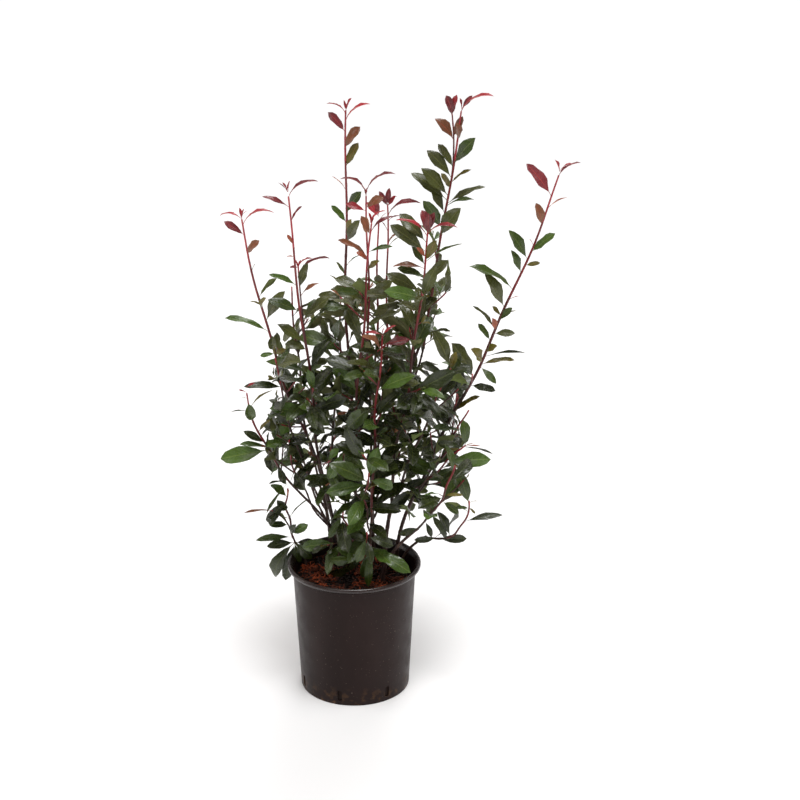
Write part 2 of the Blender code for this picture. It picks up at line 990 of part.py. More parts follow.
def make_masses(limbs, clashes, finish):
    """Grow every mass of foliage and join each into one solid."""
    masses = []
    for number, shoot in enumerate(SHOOTS):
        mass = Mass(shoot, limbs.lines[shoot.name], clashes, SHARED_SEED + number)
        base = mass.add_stem(finish)
        if not shoot.bare:
            boolean(base, [limbs.fat_trunk(shoot)], "DIFFERENCE")
        masses.append((mass, base))
        clashes.add_object(base, mass.name + " stem")
    for mass, base in masses:
        pieces = mass.grow_twigs()
        pieces += mass.grow_leaves()
        boolean(base, pieces, "UNION")


class Limbs:
    """The trunks and boughs, with the lines that they follow."""

    def __init__(self, finish):
        """Make every trunk, and then every bough cut clear of what it leaves."""
        self.trunks = {trunk.name: trunk_line(trunk) for trunk in TRUNKS}
        self.lines = {}
        self.made = []
        for trunk in TRUNKS:
            self.made.append(make_trunk(trunk, self.trunks[trunk.name], finish))
        for number, shoot in enumerate(SHOOTS):
            line = shoot_line(shoot, self.trunks[shoot.trunk], number)
            self.lines[shoot.name] = line
        self.boughs = []
        for shoot in SHOOTS:
            if shoot.bare:
                self.made.append(self.make_bough(shoot, finish))
                self.boughs.append(shoot)

    def fat_trunk(self, shoot):
        """Return a cutter a gap wider than the shoot's trunk."""
        line = self.trunks[shoot.trunk]
        stations = line_stations(line, ABOVE_FOOT, 1.0, GAP)
        centre, heading, radius = stations[-1]
        stations.append((centre + heading * GAP, heading, radius))
        form = bmesh.new()
        add_loft(form, tube_rings(stations, TRUNK_SIDES))
        return object_from("fat trunk", form, None)

    def make_bough(self, shoot, finish):
        """Make one bough, cut clear of its trunk and of the boughs beside it."""
        line = self.lines[shoot.name]
        made = object_from(
            "bough_" + shoot.name, line_tube(line, 0.0, shoot.bare, BOUGH_SIDES), finish
        )
        boolean(made, [self.fat_trunk(shoot)], "DIFFERENCE")
        beside = []
        for other in self.boughs:
            if other.trunk == shoot.trunk:
                fat = line_tube(self.lines[other.name], 0.0, other.bare, BOUGH_SIDES, GAP)
                beside.append(object_from("fat bough", fat, None))
        if beside:
            boolean(made, beside, "DIFFERENCE")
        return made


def main():
    """Clear the scene and build the shrub and its pot."""
    for old in list(bpy.data.objects):
        bpy.data.objects.remove(old)
    clashes = Clashes()
    clashes.add_object(make_pot())
    clashes.add_object(make_soil())
    bark = material("bark", (0.070, 0.042, 0.038), 0.8)
    green = material("leaf", (0.035, 0.075, 0.020), 0.45)
    limbs = Limbs(bark)
    for made in limbs.made:
        clashes.add_object(made)
    make_masses(limbs, clashes, green)


main()
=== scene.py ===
"""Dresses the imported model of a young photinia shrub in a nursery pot.

Lengths are in metres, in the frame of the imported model: the origin is the middle of the
pot's flat underside, +X is to the right of the shrub's front and +Z is up.
"""

import logging
import math
import random
from collections import defaultdict
from collections.abc import Iterable, Iterator
from dataclasses import dataclass, field
from enum import Enum

import bmesh
import bpy
import numpy as np
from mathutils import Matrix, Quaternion, Vector, noise
from mathutils.bvhtree import BVHTree


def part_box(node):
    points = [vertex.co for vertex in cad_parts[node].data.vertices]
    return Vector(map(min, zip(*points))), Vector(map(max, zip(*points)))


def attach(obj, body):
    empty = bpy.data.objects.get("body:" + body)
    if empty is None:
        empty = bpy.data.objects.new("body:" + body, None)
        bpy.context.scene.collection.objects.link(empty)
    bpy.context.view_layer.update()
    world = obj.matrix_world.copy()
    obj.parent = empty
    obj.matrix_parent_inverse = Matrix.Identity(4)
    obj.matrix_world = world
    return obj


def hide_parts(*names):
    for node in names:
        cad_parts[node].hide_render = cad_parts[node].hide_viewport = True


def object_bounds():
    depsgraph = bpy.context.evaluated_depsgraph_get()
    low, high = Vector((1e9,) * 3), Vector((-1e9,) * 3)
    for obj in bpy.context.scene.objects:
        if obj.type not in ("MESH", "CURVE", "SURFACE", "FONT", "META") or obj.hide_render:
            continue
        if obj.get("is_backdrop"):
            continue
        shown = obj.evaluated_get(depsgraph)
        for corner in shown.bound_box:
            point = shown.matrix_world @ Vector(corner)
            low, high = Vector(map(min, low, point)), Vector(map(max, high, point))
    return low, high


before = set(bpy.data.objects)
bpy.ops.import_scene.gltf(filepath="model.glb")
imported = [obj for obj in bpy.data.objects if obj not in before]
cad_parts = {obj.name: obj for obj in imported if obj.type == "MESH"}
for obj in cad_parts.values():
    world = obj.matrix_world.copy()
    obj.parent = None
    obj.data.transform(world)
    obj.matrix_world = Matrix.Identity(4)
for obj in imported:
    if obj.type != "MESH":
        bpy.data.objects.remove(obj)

log = logging.getLogger("photinia")

SHARED_SEED = 41

# How far down the photograph looks
PITCH = math.radians(20.09)
COS_PITCH = math.cos(PITCH)
SIN_PITCH = math.sin(PITCH)

# Corners closer than this become one
WELD = 0.00001

Colour = tuple[float, float, float]
Point = tuple[float, float, float]
Pair = tuple[float, float]
Run = list[tuple[Vector, float]]
Socket = bpy.types.NodeSocket


def srgb(red: int, green: int, blue: int) -> Colour:
    """Turn a screen colour of 0 to 255 into a linear one."""
    shares = (value / 255 for value in (red, green, blue))
    return tuple(
        share / 12.92 if share <= 0.04045 else ((share + 0.055) / 1.055) ** 2.4
        for share in shares
    )


def shaded(colour: Colour, by: float) -> Colour:
    """Return a colour made lighter or darker by this factor."""
    return tuple(min(1.0, channel * by) for channel in colour)


def shares(count: int, first: float = 0.0, last: float = 1.0) -> list[float]:
    """Return the ends of this many even steps from the first share to the last."""
    return [first + (last - first) * step / count for step in range(count + 1)]


def clamped(value: float) -> float:
    """Return a value held between 0 and 1."""
    return min(1.0, max(0.0, value))


# Materials


class Sketch:
    """A material's node tree with short ways to add nodes to it."""

    def __init__(self, name: str, **constants: float) -> None:
        """Start a material with a Principled shader.

        Args:
            name: the material's name.
            **constants: the shader's own inputs by name, with _ for a space.
        """
        self.material = bpy.data.materials.new(name)
        self.material.use_nodes = True
        self.tree = self.material.node_tree
        shader = self.tree.nodes["Principled BSDF"]
        self.inputs = {slot.name.lower().replace(" ", "_"): slot for slot in shader.inputs}
        self.give(**constants)

    def put(self, slot: Socket, value: object) -> None:
        """Link an input to a socket, or set it to a value."""
        if isinstance(value, Socket):
            self.tree.links.new(value, slot)
        else:
            slot.default_value = value

    def give(self, **values: object) -> None:
        """Link or set the shader's inputs, named with _ for a space."""
        for name, value in values.items():
            self.put(self.inputs[name], value)

    def add(
        self, kind: str, values: dict[str, object] | None = None, **settings: object
    ) -> bpy.types.Node:
        """Add a node.

        Args:
            kind: the node's type name without the ShaderNode prefix.
            values: input values or sockets by the input's name.
            **settings: the node's properties.

        Returns:
            The new node.
        """
        node = self.tree.nodes.new("ShaderNode" + kind)
        for name, value in settings.items():
            setattr(node, name, value)
        for name, value in (values or {}).items():
            self.put(node.inputs[name], value)
        return node

    def noise(self, scale: float, detail: float = 3.0, stretch: Point = (1, 1, 1)) -> Socket:
        """Return a noise of about 0 to 1 over the object's coordinates.

        Args:
            scale: features per metre.
            detail: octaves of the noise.
            stretch: how much finer the noise is along each axis.

        Returns:
            The noise's factor.
        """
        places = self.add("TexCoord").outputs["Object"]
        mapped = self.add("Mapping", {"Vector": places, "Scale": stretch}).outputs[0]
        return self.add("TexNoise", {"Vector": mapped, "Scale": scale, "Detail": detail}).outputs[0]

    def ramp(self, factor: Socket, *stops: tuple[float, Colour]) -> Socket:
        """Return a colour that follows the factor through stops of place and colour."""
        node = self.add("ValToRGB", {"Fac": factor})
        elements = node.color_ramp.elements
        for _ in stops[2:]:
            elements.new(0.5)
        for element, (place, colour) in zip(elements, stops):
            element.position = place
            element.color = (*colour, 1.0)
        return node.outputs[0]

    def span(
        self, value: Socket, low: float, high: float, start: float = 0.0, end: float = 1.0
    ) -> Socket:
        """Return a value mapped smoothly from one range to another.

        Args:
            value: the value.
            low: the start of its own range.
            high: the end of its own range.
            start: the result at `low`.
            end: the result at `high`.

        Returns:
            The mapped value.
        """
        limits = {"Value": value, "From Min": low, "From Max": high, "To Min": start, "To Max": end}
        return self.add("MapRange", limits, interpolation_type="SMOOTHSTEP").outputs[0]

    def maths(self, operation: str, *values: Socket | float) -> Socket:
        """Return the result of a Math node on sockets or numbers."""
        node = self.add("Math", operation=operation)
        for slot, value in zip(node.inputs, values):
            self.put(slot, value)
        return node.outputs[0]

    def times(self, *values: Socket | float) -> Socket:
        """Return the product of two sockets or numbers."""
        return self.maths("MULTIPLY", *values)

    def plus(self, *values: Socket | float) -> Socket:
        """Return the sum of two sockets or numbers."""
        return self.maths("ADD", *values)

    def mix(self, factor: Socket, *colours: Socket | Colour) -> Socket:
        """Return a colour between two colours."""
        node = self.add("Mix", data_type="RGBA")
        self.put(node.inputs[0], factor)
        for slot, colour in zip(node.inputs[6:8], colours):
            self.put(slot, colour if isinstance(colour, Socket) else (*colour, 1.0))
        return node.outputs[2]

    def bump(self, height: Socket, distance: float, strength: float = 1.0) -> None:
        """Give the shader relief of this depth in metres."""
        values = {"Height": height, "Distance": distance, "Strength": strength}
        self.give(normal=self.add("Bump", values).outputs[0])


@dataclass(frozen=True)
class PotPlastic:
    """Dark brown moulded plastic, satin, with dust in specks and towards the foot."""

    name: str = "pot_plastic"
    specular: float = 0.14
    roughness: Pair = (0.34, 0.50)
    plastic: Colour = srgb(34, 22, 20)
    worn: Colour = srgb(45, 31, 29)
    dust: Colour = srgb(128, 112, 100)
    dirt: Colour = srgb(104, 74, 44)
    dirt_height: float = 0.05
    dirt_share: float = 0.5
    dust_share: float = 0.55
    grain_depth: float = 0.00035

    def material(self) -> bpy.types.Material:
        """Return the plastic's material."""
        sketch = Sketch(self.name, specular_ior_level=self.specular)
        cloud = sketch.noise(9, 4, (1, 1, 0.35))
        base = sketch.ramp(cloud, (0.35, self.plastic), (0.75, self.worn))
        places = sketch.add("TexCoord").outputs["Object"]
        height = sketch.add("SeparateXYZ", {"Vector": places}).outputs[2]
        foot = sketch.span(height, 0.0, self.dirt_height, 1.0, 0.0)
        dirt = sketch.times(sketch.span(sketch.noise(70, 5), 0.48, 0.66), foot)
        base = sketch.mix(sketch.times(dirt, self.dirt_share), base, self.dirt)
        specks = sketch.span(sketch.noise(330, 1), 0.735, 0.78)
        sketch.give(base_color=sketch.mix(sketch.times(specks, self.dust_share), base, self.dust))
        sketch.give(roughness=sketch.span(sketch.noise(30, 4), 0.3, 0.75, *self.roughness))
        grain = sketch.plus(sketch.noise(520, 2), sketch.times(sketch.noise(16, 2), 3.0))
        sketch.bump(grain, self.grain_depth, 0.35)
        return sketch.material


@dataclass(frozen=True)
class MulchFinish:
    """One tint of shredded bark."""

    name: str
    bark: Colour

    def material(self) -> bpy.types.Material:
        """Return a fibrous, dull material of this tint."""
        sketch = Sketch("mulch_" + self.name, specular_ior_level=0.25)
        fibre = sketch.noise(260, 4)
        stops = (0.3, shaded(self.bark, 0.45)), (0.55, self.bark), (0.8, shaded(self.bark, 1.7))
        sketch.give(base_color=sketch.ramp(fibre, *stops))
        sketch.give(roughness=sketch.span(fibre, 0.2, 0.8, 0.65, 0.95))
        sketch.bump(sketch.noise(700, 4), 0.0006, 0.7)
        return sketch.material


@dataclass(frozen=True)
class BarkFinish:
    """The skin of a stem: its colour, its lighter streaks and how it shines."""

    name: str
    skin: Colour
    streak: Colour
    roughness: float

    def material(self) -> bpy.types.Material:
        """Return the skin's material, streaked along the stem with small pores."""
        sketch = Sketch(self.name, specular_ior_level=0.4)
        streaks = sketch.noise(170, 4, (1, 1, 0.18))
        base = sketch.ramp(streaks, (0.3, shaded(self.skin, 0.7)), (0.55, self.skin), (0.8, self.streak))
        pores = sketch.span(sketch.noise(420, 2, (1, 1, 1.8)), 0.66, 0.74)
        sketch.give(base_color=sketch.mix(sketch.times(pores, 0.5), base, self.streak))
        low, high = self.roughness - 0.08, self.roughness + 0.12
        sketch.give(roughness=sketch.span(streaks, 0.2, 0.8, low, high))
        sketch.bump(streaks, 0.0005, 0.6)
        return sketch.material


@dataclass(frozen=True)
class LeafFinish:
    """A tint of leaf: its upper side, its dull paler underside and its rib and stalk."""

    name: str
    upper: Colour
    under: Colour
    rib: Colour
    gloss: float = 0.25

    def materials(self) -> list[bpy.types.Material]:
        """Return the materials of the upper side, the underside and the stalk."""
        return [self.side("upper"), self.side("under"), self.stalk()]

    def side(self, side: str) -> bpy.types.Material:
        """Return the material of one side.

        Args:
            side: "upper" or "under".

        Returns:
            A material whose rib and veins follow the leaf's own UV map.
        """
        top = side == "upper"
        colour = self.upper if top else self.under
        sketch = Sketch(f"leaf_{self.name}_{side}", specular_ior_level=0.52 if top else 0.25)
        tone = sketch.noise(17, 2)
        base = sketch.ramp(tone, (0.3, shaded(colour, 0.66)), (0.5, colour), (0.7, shaded(colour, 1.4)))
        split = sketch.add("SeparateXYZ", {"Vector": sketch.add("UVMap").outputs[0]})
        off_rib = sketch.maths("ABSOLUTE", sketch.maths("SUBTRACT", split.outputs[0], 0.5))
        rib = sketch.span(off_rib, 0.012, 0.05, 1.0, 0.0)
        along = sketch.plus(sketch.times(split.outputs[1], 62.0), sketch.times(off_rib, -34.0))
        veins = sketch.span(sketch.maths("SINE", along), 0.55, 1.0)
        pale = sketch.times(sketch.maths("MAXIMUM", rib, sketch.times(veins, 0.22)), 0.7)
        sketch.give(base_color=sketch.mix(pale, base, self.rib if top else shaded(self.rib, 1.15)))
        rough = self.gloss if top else 0.55
        sketch.give(roughness=sketch.span(sketch.noise(90, 3), 0.3, 0.7, rough - 0.06, rough + 0.1))
        relief = sketch.plus(sketch.times(veins, 0.5 if top else -0.6), rib)
        relief = sketch.plus(relief, sketch.times(sketch.noise(160, 3), 0.9))
        sketch.bump(relief, 0.0006, 0.45)
        return sketch.material

    def stalk(self) -> bpy.types.Material:
        """Return the stalk's material."""
        sketch = Sketch(f"leaf_{self.name}_stalk", specular_ior_level=0.4)
        stops = (0.35, shaded(self.rib, 0.6)), (0.7, self.rib)
        sketch.give(base_color=sketch.ramp(sketch.noise(60), *stops))
        sketch.give(roughness=sketch.span(sketch.noise(200), 0.3, 0.7, 0.35, 0.5))
        return sketch.material


class Tint(Enum):
    """The kinds of leaf colour on the shrub."""

    DEEP = LeafFinish("deep", srgb(40, 48, 18), srgb(90, 94, 54), srgb(80, 90, 38))
    UPPER = LeafFinish("upper_green", srgb(68, 72, 34), srgb(106, 106, 70), srgb(106, 108, 56))
    MID = LeafFinish("mid", srgb(59, 75, 28), srgb(100, 108, 62), srgb(98, 112, 48))
    BRIGHT = LeafFinish("bright", srgb(72, 96, 36), srgb(112, 124, 70), srgb(118, 138, 64))
    OLIVE = LeafFinish("olive", srgb(94, 88, 30), srgb(126, 124, 64), srgb(140, 106, 50))
    ORANGE = LeafFinish("orange", srgb(158, 86, 58), srgb(196, 124, 92), srgb(198, 92, 70))
    BRONZE = LeafFinish("bronze", srgb(124, 80, 54), srgb(160, 112, 84), srgb(170, 84, 62))
    MAROON = LeafFinish("maroon", srgb(114, 46, 50), srgb(152, 84, 82), srgb(186, 76, 72))
    CRIMSON = LeafFinish("crimson", srgb(160, 50, 56), srgb(186, 94, 92), srgb(204, 74, 78))


class Skin(Enum):
    """The skins of the stems, from the tip of a shoot to its foot."""

    CRIMSON = BarkFinish("stem_crimson", srgb(168, 48, 58), srgb(196, 90, 88), 0.34)
    RED = BarkFinish("stem_red", srgb(126, 38, 42), srgb(156, 72, 64), 0.38)
    MAROON = BarkFinish("stem_maroon", srgb(92, 36, 35), srgb(124, 68, 56), 0.45)
    BARK = BarkFinish("stem_bark", srgb(72, 50, 44), srgb(118, 96, 82), 0.62)


# Pieces


def own(piece: bpy.types.Object, slot: str, nodes: Iterable[str]) -> None:
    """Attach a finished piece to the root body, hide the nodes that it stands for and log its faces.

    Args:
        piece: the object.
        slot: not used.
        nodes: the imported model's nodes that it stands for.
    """
    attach(piece, "root")
    nodes = list(nodes)
    if nodes:
        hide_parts(*nodes)
    log.info("%s: %d faces", piece.name, len(piece.data.polygons))


def placed(name: str, data: bpy.types.ID) -> bpy.types.Object:
    """Return a new object of the scene that holds this mesh, curve, light or camera."""
    made = bpy.data.objects.new(name, data)
    bpy.context.scene.collection.objects.link(made)
    return made


def object_of(name: str, mesh: bpy.types.Mesh, *materials: bpy.types.Material) -> bpy.types.Object:
    """Return a new object of the scene with this mesh and these materials."""
    for material in materials:
        mesh.materials.append(material)
    return placed(name, mesh)


def mesh_of(name: str, form: bmesh.types.BMesh, sharp: float = 35.0) -> bpy.types.Mesh:
    """Write a bmesh to a smooth mesh with edges sharp above an angle, and free it."""
    mesh = bpy.data.meshes.new(name)
    form.to_mesh(mesh)
    form.free()
    mesh.shade_smooth()
    mesh.set_sharp_from_angle(angle=math.radians(sharp))
    return mesh


def evaluated(made: bpy.types.Object) -> bpy.types.Mesh:
    """Return what an object's modifiers make of it as a new mesh."""
    graph = bpy.context.evaluated_depsgraph_get()
    return bpy.data.meshes.new_from_object(made.evaluated_get(graph))


def discard(made: bpy.types.Object) -> None:
    """Take an object and its data out of the file."""
    data = made.data
    bpy.data.objects.remove(made)
    if isinstance(data, bpy.types.Curve):
        bpy.data.curves.remove(data)
    else:
        bpy.data.meshes.remove(data)


def spun(profile: Iterable[Pair], steps: int) -> bmesh.types.BMesh:
    """Spin a profile of (radius, height) points that starts and ends on the axis."""
    form = bmesh.new()
    points = [form.verts.new((radius, 0, height)) for radius, height in profile]
    for low, high in zip(points, points[1:]):
        form.edges.new((low, high))
    geom = form.verts[:] + form.edges[:]
    turn = {"axis": (0, 0, 1), "cent": (0, 0, 0), "angle": math.tau, "steps": steps}
    bmesh.ops.spin(form, geom=geom, use_merge=True, **turn)
    bmesh.ops.remove_doubles(form, verts=form.verts, dist=WELD)
    bmesh.ops.recalc_face_normals(form, faces=form.faces)
    return form


def block(size: Point) -> tuple[bmesh.types.BMesh, list[bmesh.types.BMEdge]]:
    """Return a block of this size about the origin, and its four edges along X."""
    form = bmesh.new()
    bmesh.ops.create_cube(form, size=1)
    bmesh.ops.scale(form, vec=size, verts=form.verts)
    half = size[0] / 2
    along = [edge for edge in form.edges if abs(edge.verts[0].co.x - edge.verts[1].co.x) > half]
    return form, along


@dataclass
class Pot:
    """The nursery pot: a thin tapering wall, a rolled lip, a floor and drainage slots.

    `foot_edge` and `bead` are points of its section as (out, up), from the foot's radius
    and from the bead's foot. The bead is the low ring below the lip. `lip_roll` holds the
    half width and half height of the lip's roll.
    """

    height: float = 0.280
    foot_radius: float = 0.115
    body_radius: float = 0.1285
    lip_radius: float = 0.140
    lip_depth: float = 0.011
    wall: float = 0.0020
    floor: float = 0.0030
    sides: int = 120
    slots: int = 7
    slot_width: float = 0.0095
    slot_height: float = 0.024
    slot_middle: float = 0.022
    slot_round: float = 0.32
    slot_first: float = math.radians(-105)
    foot_edge: tuple[Pair, ...] = ((-0.0016, 0.0), (-0.0004, 0.0005))
    wall_foot: float = 0.0018
    wall_steps: int = 18
    bead_drop: float = 0.006
    bead: tuple[Pair, ...] = ((0.0011, 0.0012), (0.0011, 0.0032), (0.0, 0.0042))
    lip_roll: Pair = (0.0042, 0.0048)
    lip_middle: float = 0.0062
    lip_turns: Pair = (-70, 130)
    lip_steps: int = 10

    def inner_radius(self, height: float) -> float:
        """Return the radius of the inner wall at this height."""
        share = (height - self.floor) / (self.height - self.lip_depth - self.floor)
        foot = self.foot_radius - self.wall
        return foot + (self.body_radius - self.wall - foot) * share

    def profile(self) -> list[Pair]:
        """Return the pot's section from the middle of its underside to that of its floor."""
        foot, body = self.foot_radius, self.body_radius
        lip_foot = self.height - self.lip_depth
        bead_foot = lip_foot - self.bead_drop
        points = [(0.0, 0.0), *((foot + out, up) for out, up in self.foot_edge)]
        for share in shares(self.wall_steps):
            rise = self.wall_foot + (bead_foot - self.wall_foot) * share
            points.append((foot + (body - foot) * share, rise))
        points += [(body + out, bead_foot + up) for out, up in self.bead]
        points.append((body + 0.0004, lip_foot))
        wide, high = self.lip_roll
        for degrees in shares(self.lip_steps, *self.lip_turns):
            turn = math.radians(degrees)
            out = self.lip_radius - wide + math.cos(turn) * wide
            points.append((out, lip_foot + self.lip_middle + math.sin(turn) * high))
        points += [(body + 0.0012, lip_foot + 0.0050), (body - self.wall, lip_foot)]
        for height in shares(4, lip_foot, self.floor)[1:]:
            points.append((self.inner_radius(height), height))
        points.append((0.0, self.floor))
        return points

    def slot_cutter(self, angle: float) -> bpy.types.Object:
        """Return a rounded block that crosses the wall at this angle."""
        form, along = block((self.wall * 8, self.slot_width, self.slot_height))
        rounding = {"offset": self.slot_width * self.slot_round, "segments": 3, "profile": 0.5}
        bmesh.ops.bevel(form, geom=along, affect="EDGES", material=-1, **rounding)
        bmesh.ops.translate(form, vec=(self.foot_radius, 0, self.slot_middle), verts=form.verts)
        turn = Quaternion((0, 0, 1), angle).to_matrix()
        bmesh.ops.rotate(form, cent=(0, 0, 0), matrix=turn, verts=form.verts)
        return object_of("slot", mesh_of("slot", form))

    def build(self) -> bpy.types.Object:
        """Make the pot and dress it."""
        made = object_of("nursery_pot", mesh_of("nursery_pot", spun(self.profile(), self.sides)))
        group = bpy.data.collections.new("slots")
        angles = [self.slot_first + math.tau * index / self.slots for index in range(self.slots)]
        cutters = [self.slot_cutter(angle) for angle in angles]
        for cutter in cutters:
            group.objects.link(cutter)
        change = made.modifiers.new("slots", "BOOLEAN")
        change.operation = "DIFFERENCE"
        change.operand_type = "COLLECTION"
        change.collection = group
        cut = evaluated(made)
        made.modifiers.clear()
        old, made.data = made.data, cut
        bpy.data.meshes.remove(old)
        for cutter in cutters:
            discard(cutter)
        bpy.data.collections.remove(group)
        cut.materials.clear()
        cut.materials.append(PotPlastic().material())
        cut.materials.append(PotPlastic("pot_lip", 0.55, (0.22, 0.34)).material())
        for face in cut.polygons:
            face.material_index = int(face.center.z > self.height - self.lip_depth - 0.001)
        cut.shade_smooth()
        cut.set_sharp_from_angle(angle=math.radians(32))
        own(made, "pot", ["pot"])
        return made


@dataclass
class Mulch:
    """The pot's filling: a rough bed with shreds of bark strewn over it."""

    pot: Pot
    feet: list[Pair]
    top: float = 0.2478
    clear: float = 0.0006
    shreds: int = 1700
    edge: float = 0.0035
    finishes: tuple[MulchFinish, ...] = (
        MulchFinish("red", srgb(158, 72, 38)),
        MulchFinish("brown", srgb(94, 46, 29)),
        MulchFinish("dark", srgb(34, 20, 15)),
    )
    parts: tuple[float, ...] = (0.27, 0.41, 0.32)
    rings: tuple[float, ...] = (0.985, 0.93, 0.84, 0.72, 0.6, 0.48, 0.36, 0.24, 0.12)
    bed_sides: int = 72
    lengths: Pair = (0.009, 0.030)
    widths: Pair = (0.0015, 0.0046)
    depths: Pair = (0.0010, 0.0024)
    foot_clear: float = 0.008
    shapes: int = 6
    lumps: float = 60
    lump_height: float = 0.0035
    lump_sink: float = 0.002
    heaps: float = 22
    heap_height: float = 0.004
    patches: float = 34
    patch_blur: float = 0.3
    lies: Pair = (-0.0035, 0.0045)
    pitch: float = 0.22
    roll: float = 0.35

    def build(self) -> None:
        """Make the bed and each tint of shreds."""
        dark = self.finishes[-1].material()
        own(object_of("mulch_bed", self.bed(), dark), "soil", ["soil"])
        chance = random.Random(SHARED_SEED)
        shapes = [self.shred(chance) for _ in range(self.shapes)]
        dealt = [self.place(chance) for _ in range(self.shreds)]
        blur = self.patch_blur
        dealt.sort(key=lambda it: noise.noise(it[0] * self.patches) + chance.uniform(-blur, blur))
        first = 0
        for finish, part in zip(self.finishes, self.parts):
            count = round(self.shreds * part)
            mesh = self.strewn(dealt[first : first + count], shapes, chance)
            material = dark if finish is self.finishes[-1] else finish.material()
            own(object_of("mulch_" + finish.name, mesh, material), "soil", ["soil"])
            first += count

    def bed(self) -> bpy.types.Mesh:
        """Return the filling's body, which follows the pot's wall up to a lumpy top."""
        bottom = self.pot.floor + self.clear
        rim = self.pot.inner_radius(self.top) - self.clear
        profile = [(0.0, bottom), (self.pot.inner_radius(bottom) - self.clear, bottom)]
        profile.append((rim, self.top - self.edge))
        for ring in self.rings:
            profile.append((rim * ring, self.top - self.edge * ring**6 * 0.6))
        profile.append((0.0, self.top))
        form = spun(profile, self.bed_sides)
        for vertex in form.verts:
            if vertex.co.z > self.top - self.edge * 0.9:
                lump = noise.noise(vertex.co * self.lumps)
                vertex.co.z += lump * self.lump_height - self.lump_sink
        return mesh_of("mulch_bed", form, 60)

    def shred(self, chance: random.Random) -> tuple[np.ndarray, np.ndarray]:
        """Return one ragged shred a metre long.

        Args:
            chance: the filling's random numbers.

        Returns:
            Its corners and its quads.
        """
        form, along = block((1, 1, 1))
        bmesh.ops.subdivide_edges(form, edges=along, cuts=2, use_grid_fill=True)
        arch = chance.uniform(-0.5, 0.9)
        for vertex in form.verts:
            taper = 1 - 1.1 * abs(vertex.co.x) * chance.uniform(0.2, 1.0)
            vertex.co.y *= taper * chance.uniform(0.75, 1.2)
            vertex.co.z *= chance.uniform(0.6, 1.2)
            vertex.co.z += arch * (0.25 - vertex.co.x**2)
            vertex.co.x += chance.uniform(-0.08, 0.08)
        bmesh.ops.recalc_face_normals(form, faces=form.faces)
        form.verts.index_update()
        points = np.array([vertex.co[:] for vertex in form.verts])
        quads = np.array([[vertex.index for vertex in face.verts] for face in form.faces])
        form.free()
        return points, quads

    def place(self, chance: random.Random) -> tuple[Vector, Quaternion, Vector]:
        """Choose where and how a shred lies, clear of the trunks' feet.

        Args:
            chance: the filling's random numbers.

        Returns:
            Its place, its turn and its size.
        """
        while True:
            length = chance.uniform(*self.lengths)
            reach = self.pot.inner_radius(self.top) - 0.4 * length - 0.002
            radius = reach * math.sqrt(chance.random())
            turn = chance.uniform(0, math.tau)
            x, y = radius * math.cos(turn), radius * math.sin(turn)
            if all(math.dist((x, y), foot) > self.foot_clear for foot in self.feet):
                break
        heap = noise.noise(Vector((x, y, 0)) * self.heaps) * self.heap_height
        z = self.top + chance.uniform(*self.lies) + heap
        turned = Quaternion((0, 0, 1), chance.uniform(0, math.tau))
        turned @= Quaternion((0, 1, 0), chance.gauss(0, self.pitch))
        turned @= Quaternion((1, 0, 0), chance.gauss(0, self.roll))
        size = Vector((length, chance.uniform(*self.widths), chance.uniform(*self.depths)))
        return Vector((x, y, z)), turned, size

    def strewn(
        self,
        places: list[tuple[Vector, Quaternion, Vector]],
        shapes: list[tuple[np.ndarray, np.ndarray]],
        chance: random.Random,
    ) -> bpy.types.Mesh:
        """Return one mesh of all the shreds at these places.

        Args:
            places: each shred's place, turn and size.
            shapes: corners and quads to choose a shred's shape from.
            chance: the filling's random numbers.

        Returns:
            The mesh.
        """
        points, quads = [], []
        count = 0
        for middle, turn, size in places:
            shape, faces = chance.choice(shapes)
            turned = (shape * np.array(size)) @ np.array(turn.to_matrix()).T + np.array(middle)
            points.append(turned)
            quads.append(faces + count)
            count += len(shape)
        return joined_mesh("mulch", np.concatenate(points), [np.concatenate(quads)])


def joined_mesh(
    name: str,
    points: np.ndarray,
    faces: list[np.ndarray],
    slots: list[np.ndarray] | None = None,
    uvs: np.ndarray | None = None,
) -> bpy.types.Mesh:
    """Return a mesh of many small shapes from arrays.

    Args:
        name: the mesh's name.
        points: corners, one row each.
        faces: arrays of faces, each array with one number of corners to a face.
        slots: the material slot of each face, an array for each array of faces.
        uvs: the UV place of each corner.

    Returns:
        The new mesh.
    """
    mesh = bpy.data.meshes.new(name)
    loops = np.concatenate([group.ravel() for group in faces])
    totals = np.concatenate([np.full(len(group), group.shape[1]) for group in faces])
    starts = np.concatenate([[0], np.cumsum(totals)[:-1]])
    mesh.vertices.add(len(points))
    mesh.vertices.foreach_set("co", points.astype(np.float32).ravel())
    mesh.loops.add(len(loops))
    mesh.loops.foreach_set("vertex_index", loops.astype(np.int32))
    mesh.polygons.add(len(totals))
    mesh.polygons.foreach_set("loop_start", starts.astype(np.int32))
    mesh.polygons.foreach_set("loop_total", totals.astype(np.int32))
    if slots is not None:
        mesh.polygons.foreach_set("material_index", np.concatenate(slots).astype(np.int32))
    mesh.update(calc_edges=True)
    mesh.validate()
    if uvs is not None:
        layer = mesh.uv_layers.new(name="leaf")
        layer.data.foreach_set("uv", uvs[loops].astype(np.float32).ravel())
    return mesh


# Growth


@dataclass(frozen=True)
class Trunk:
    """A stem that stands on the soil: its foot, its top and its radius at each."""

    name: str
    foot: Pair
    top: Point
    foot_radius: float
    top_radius: float


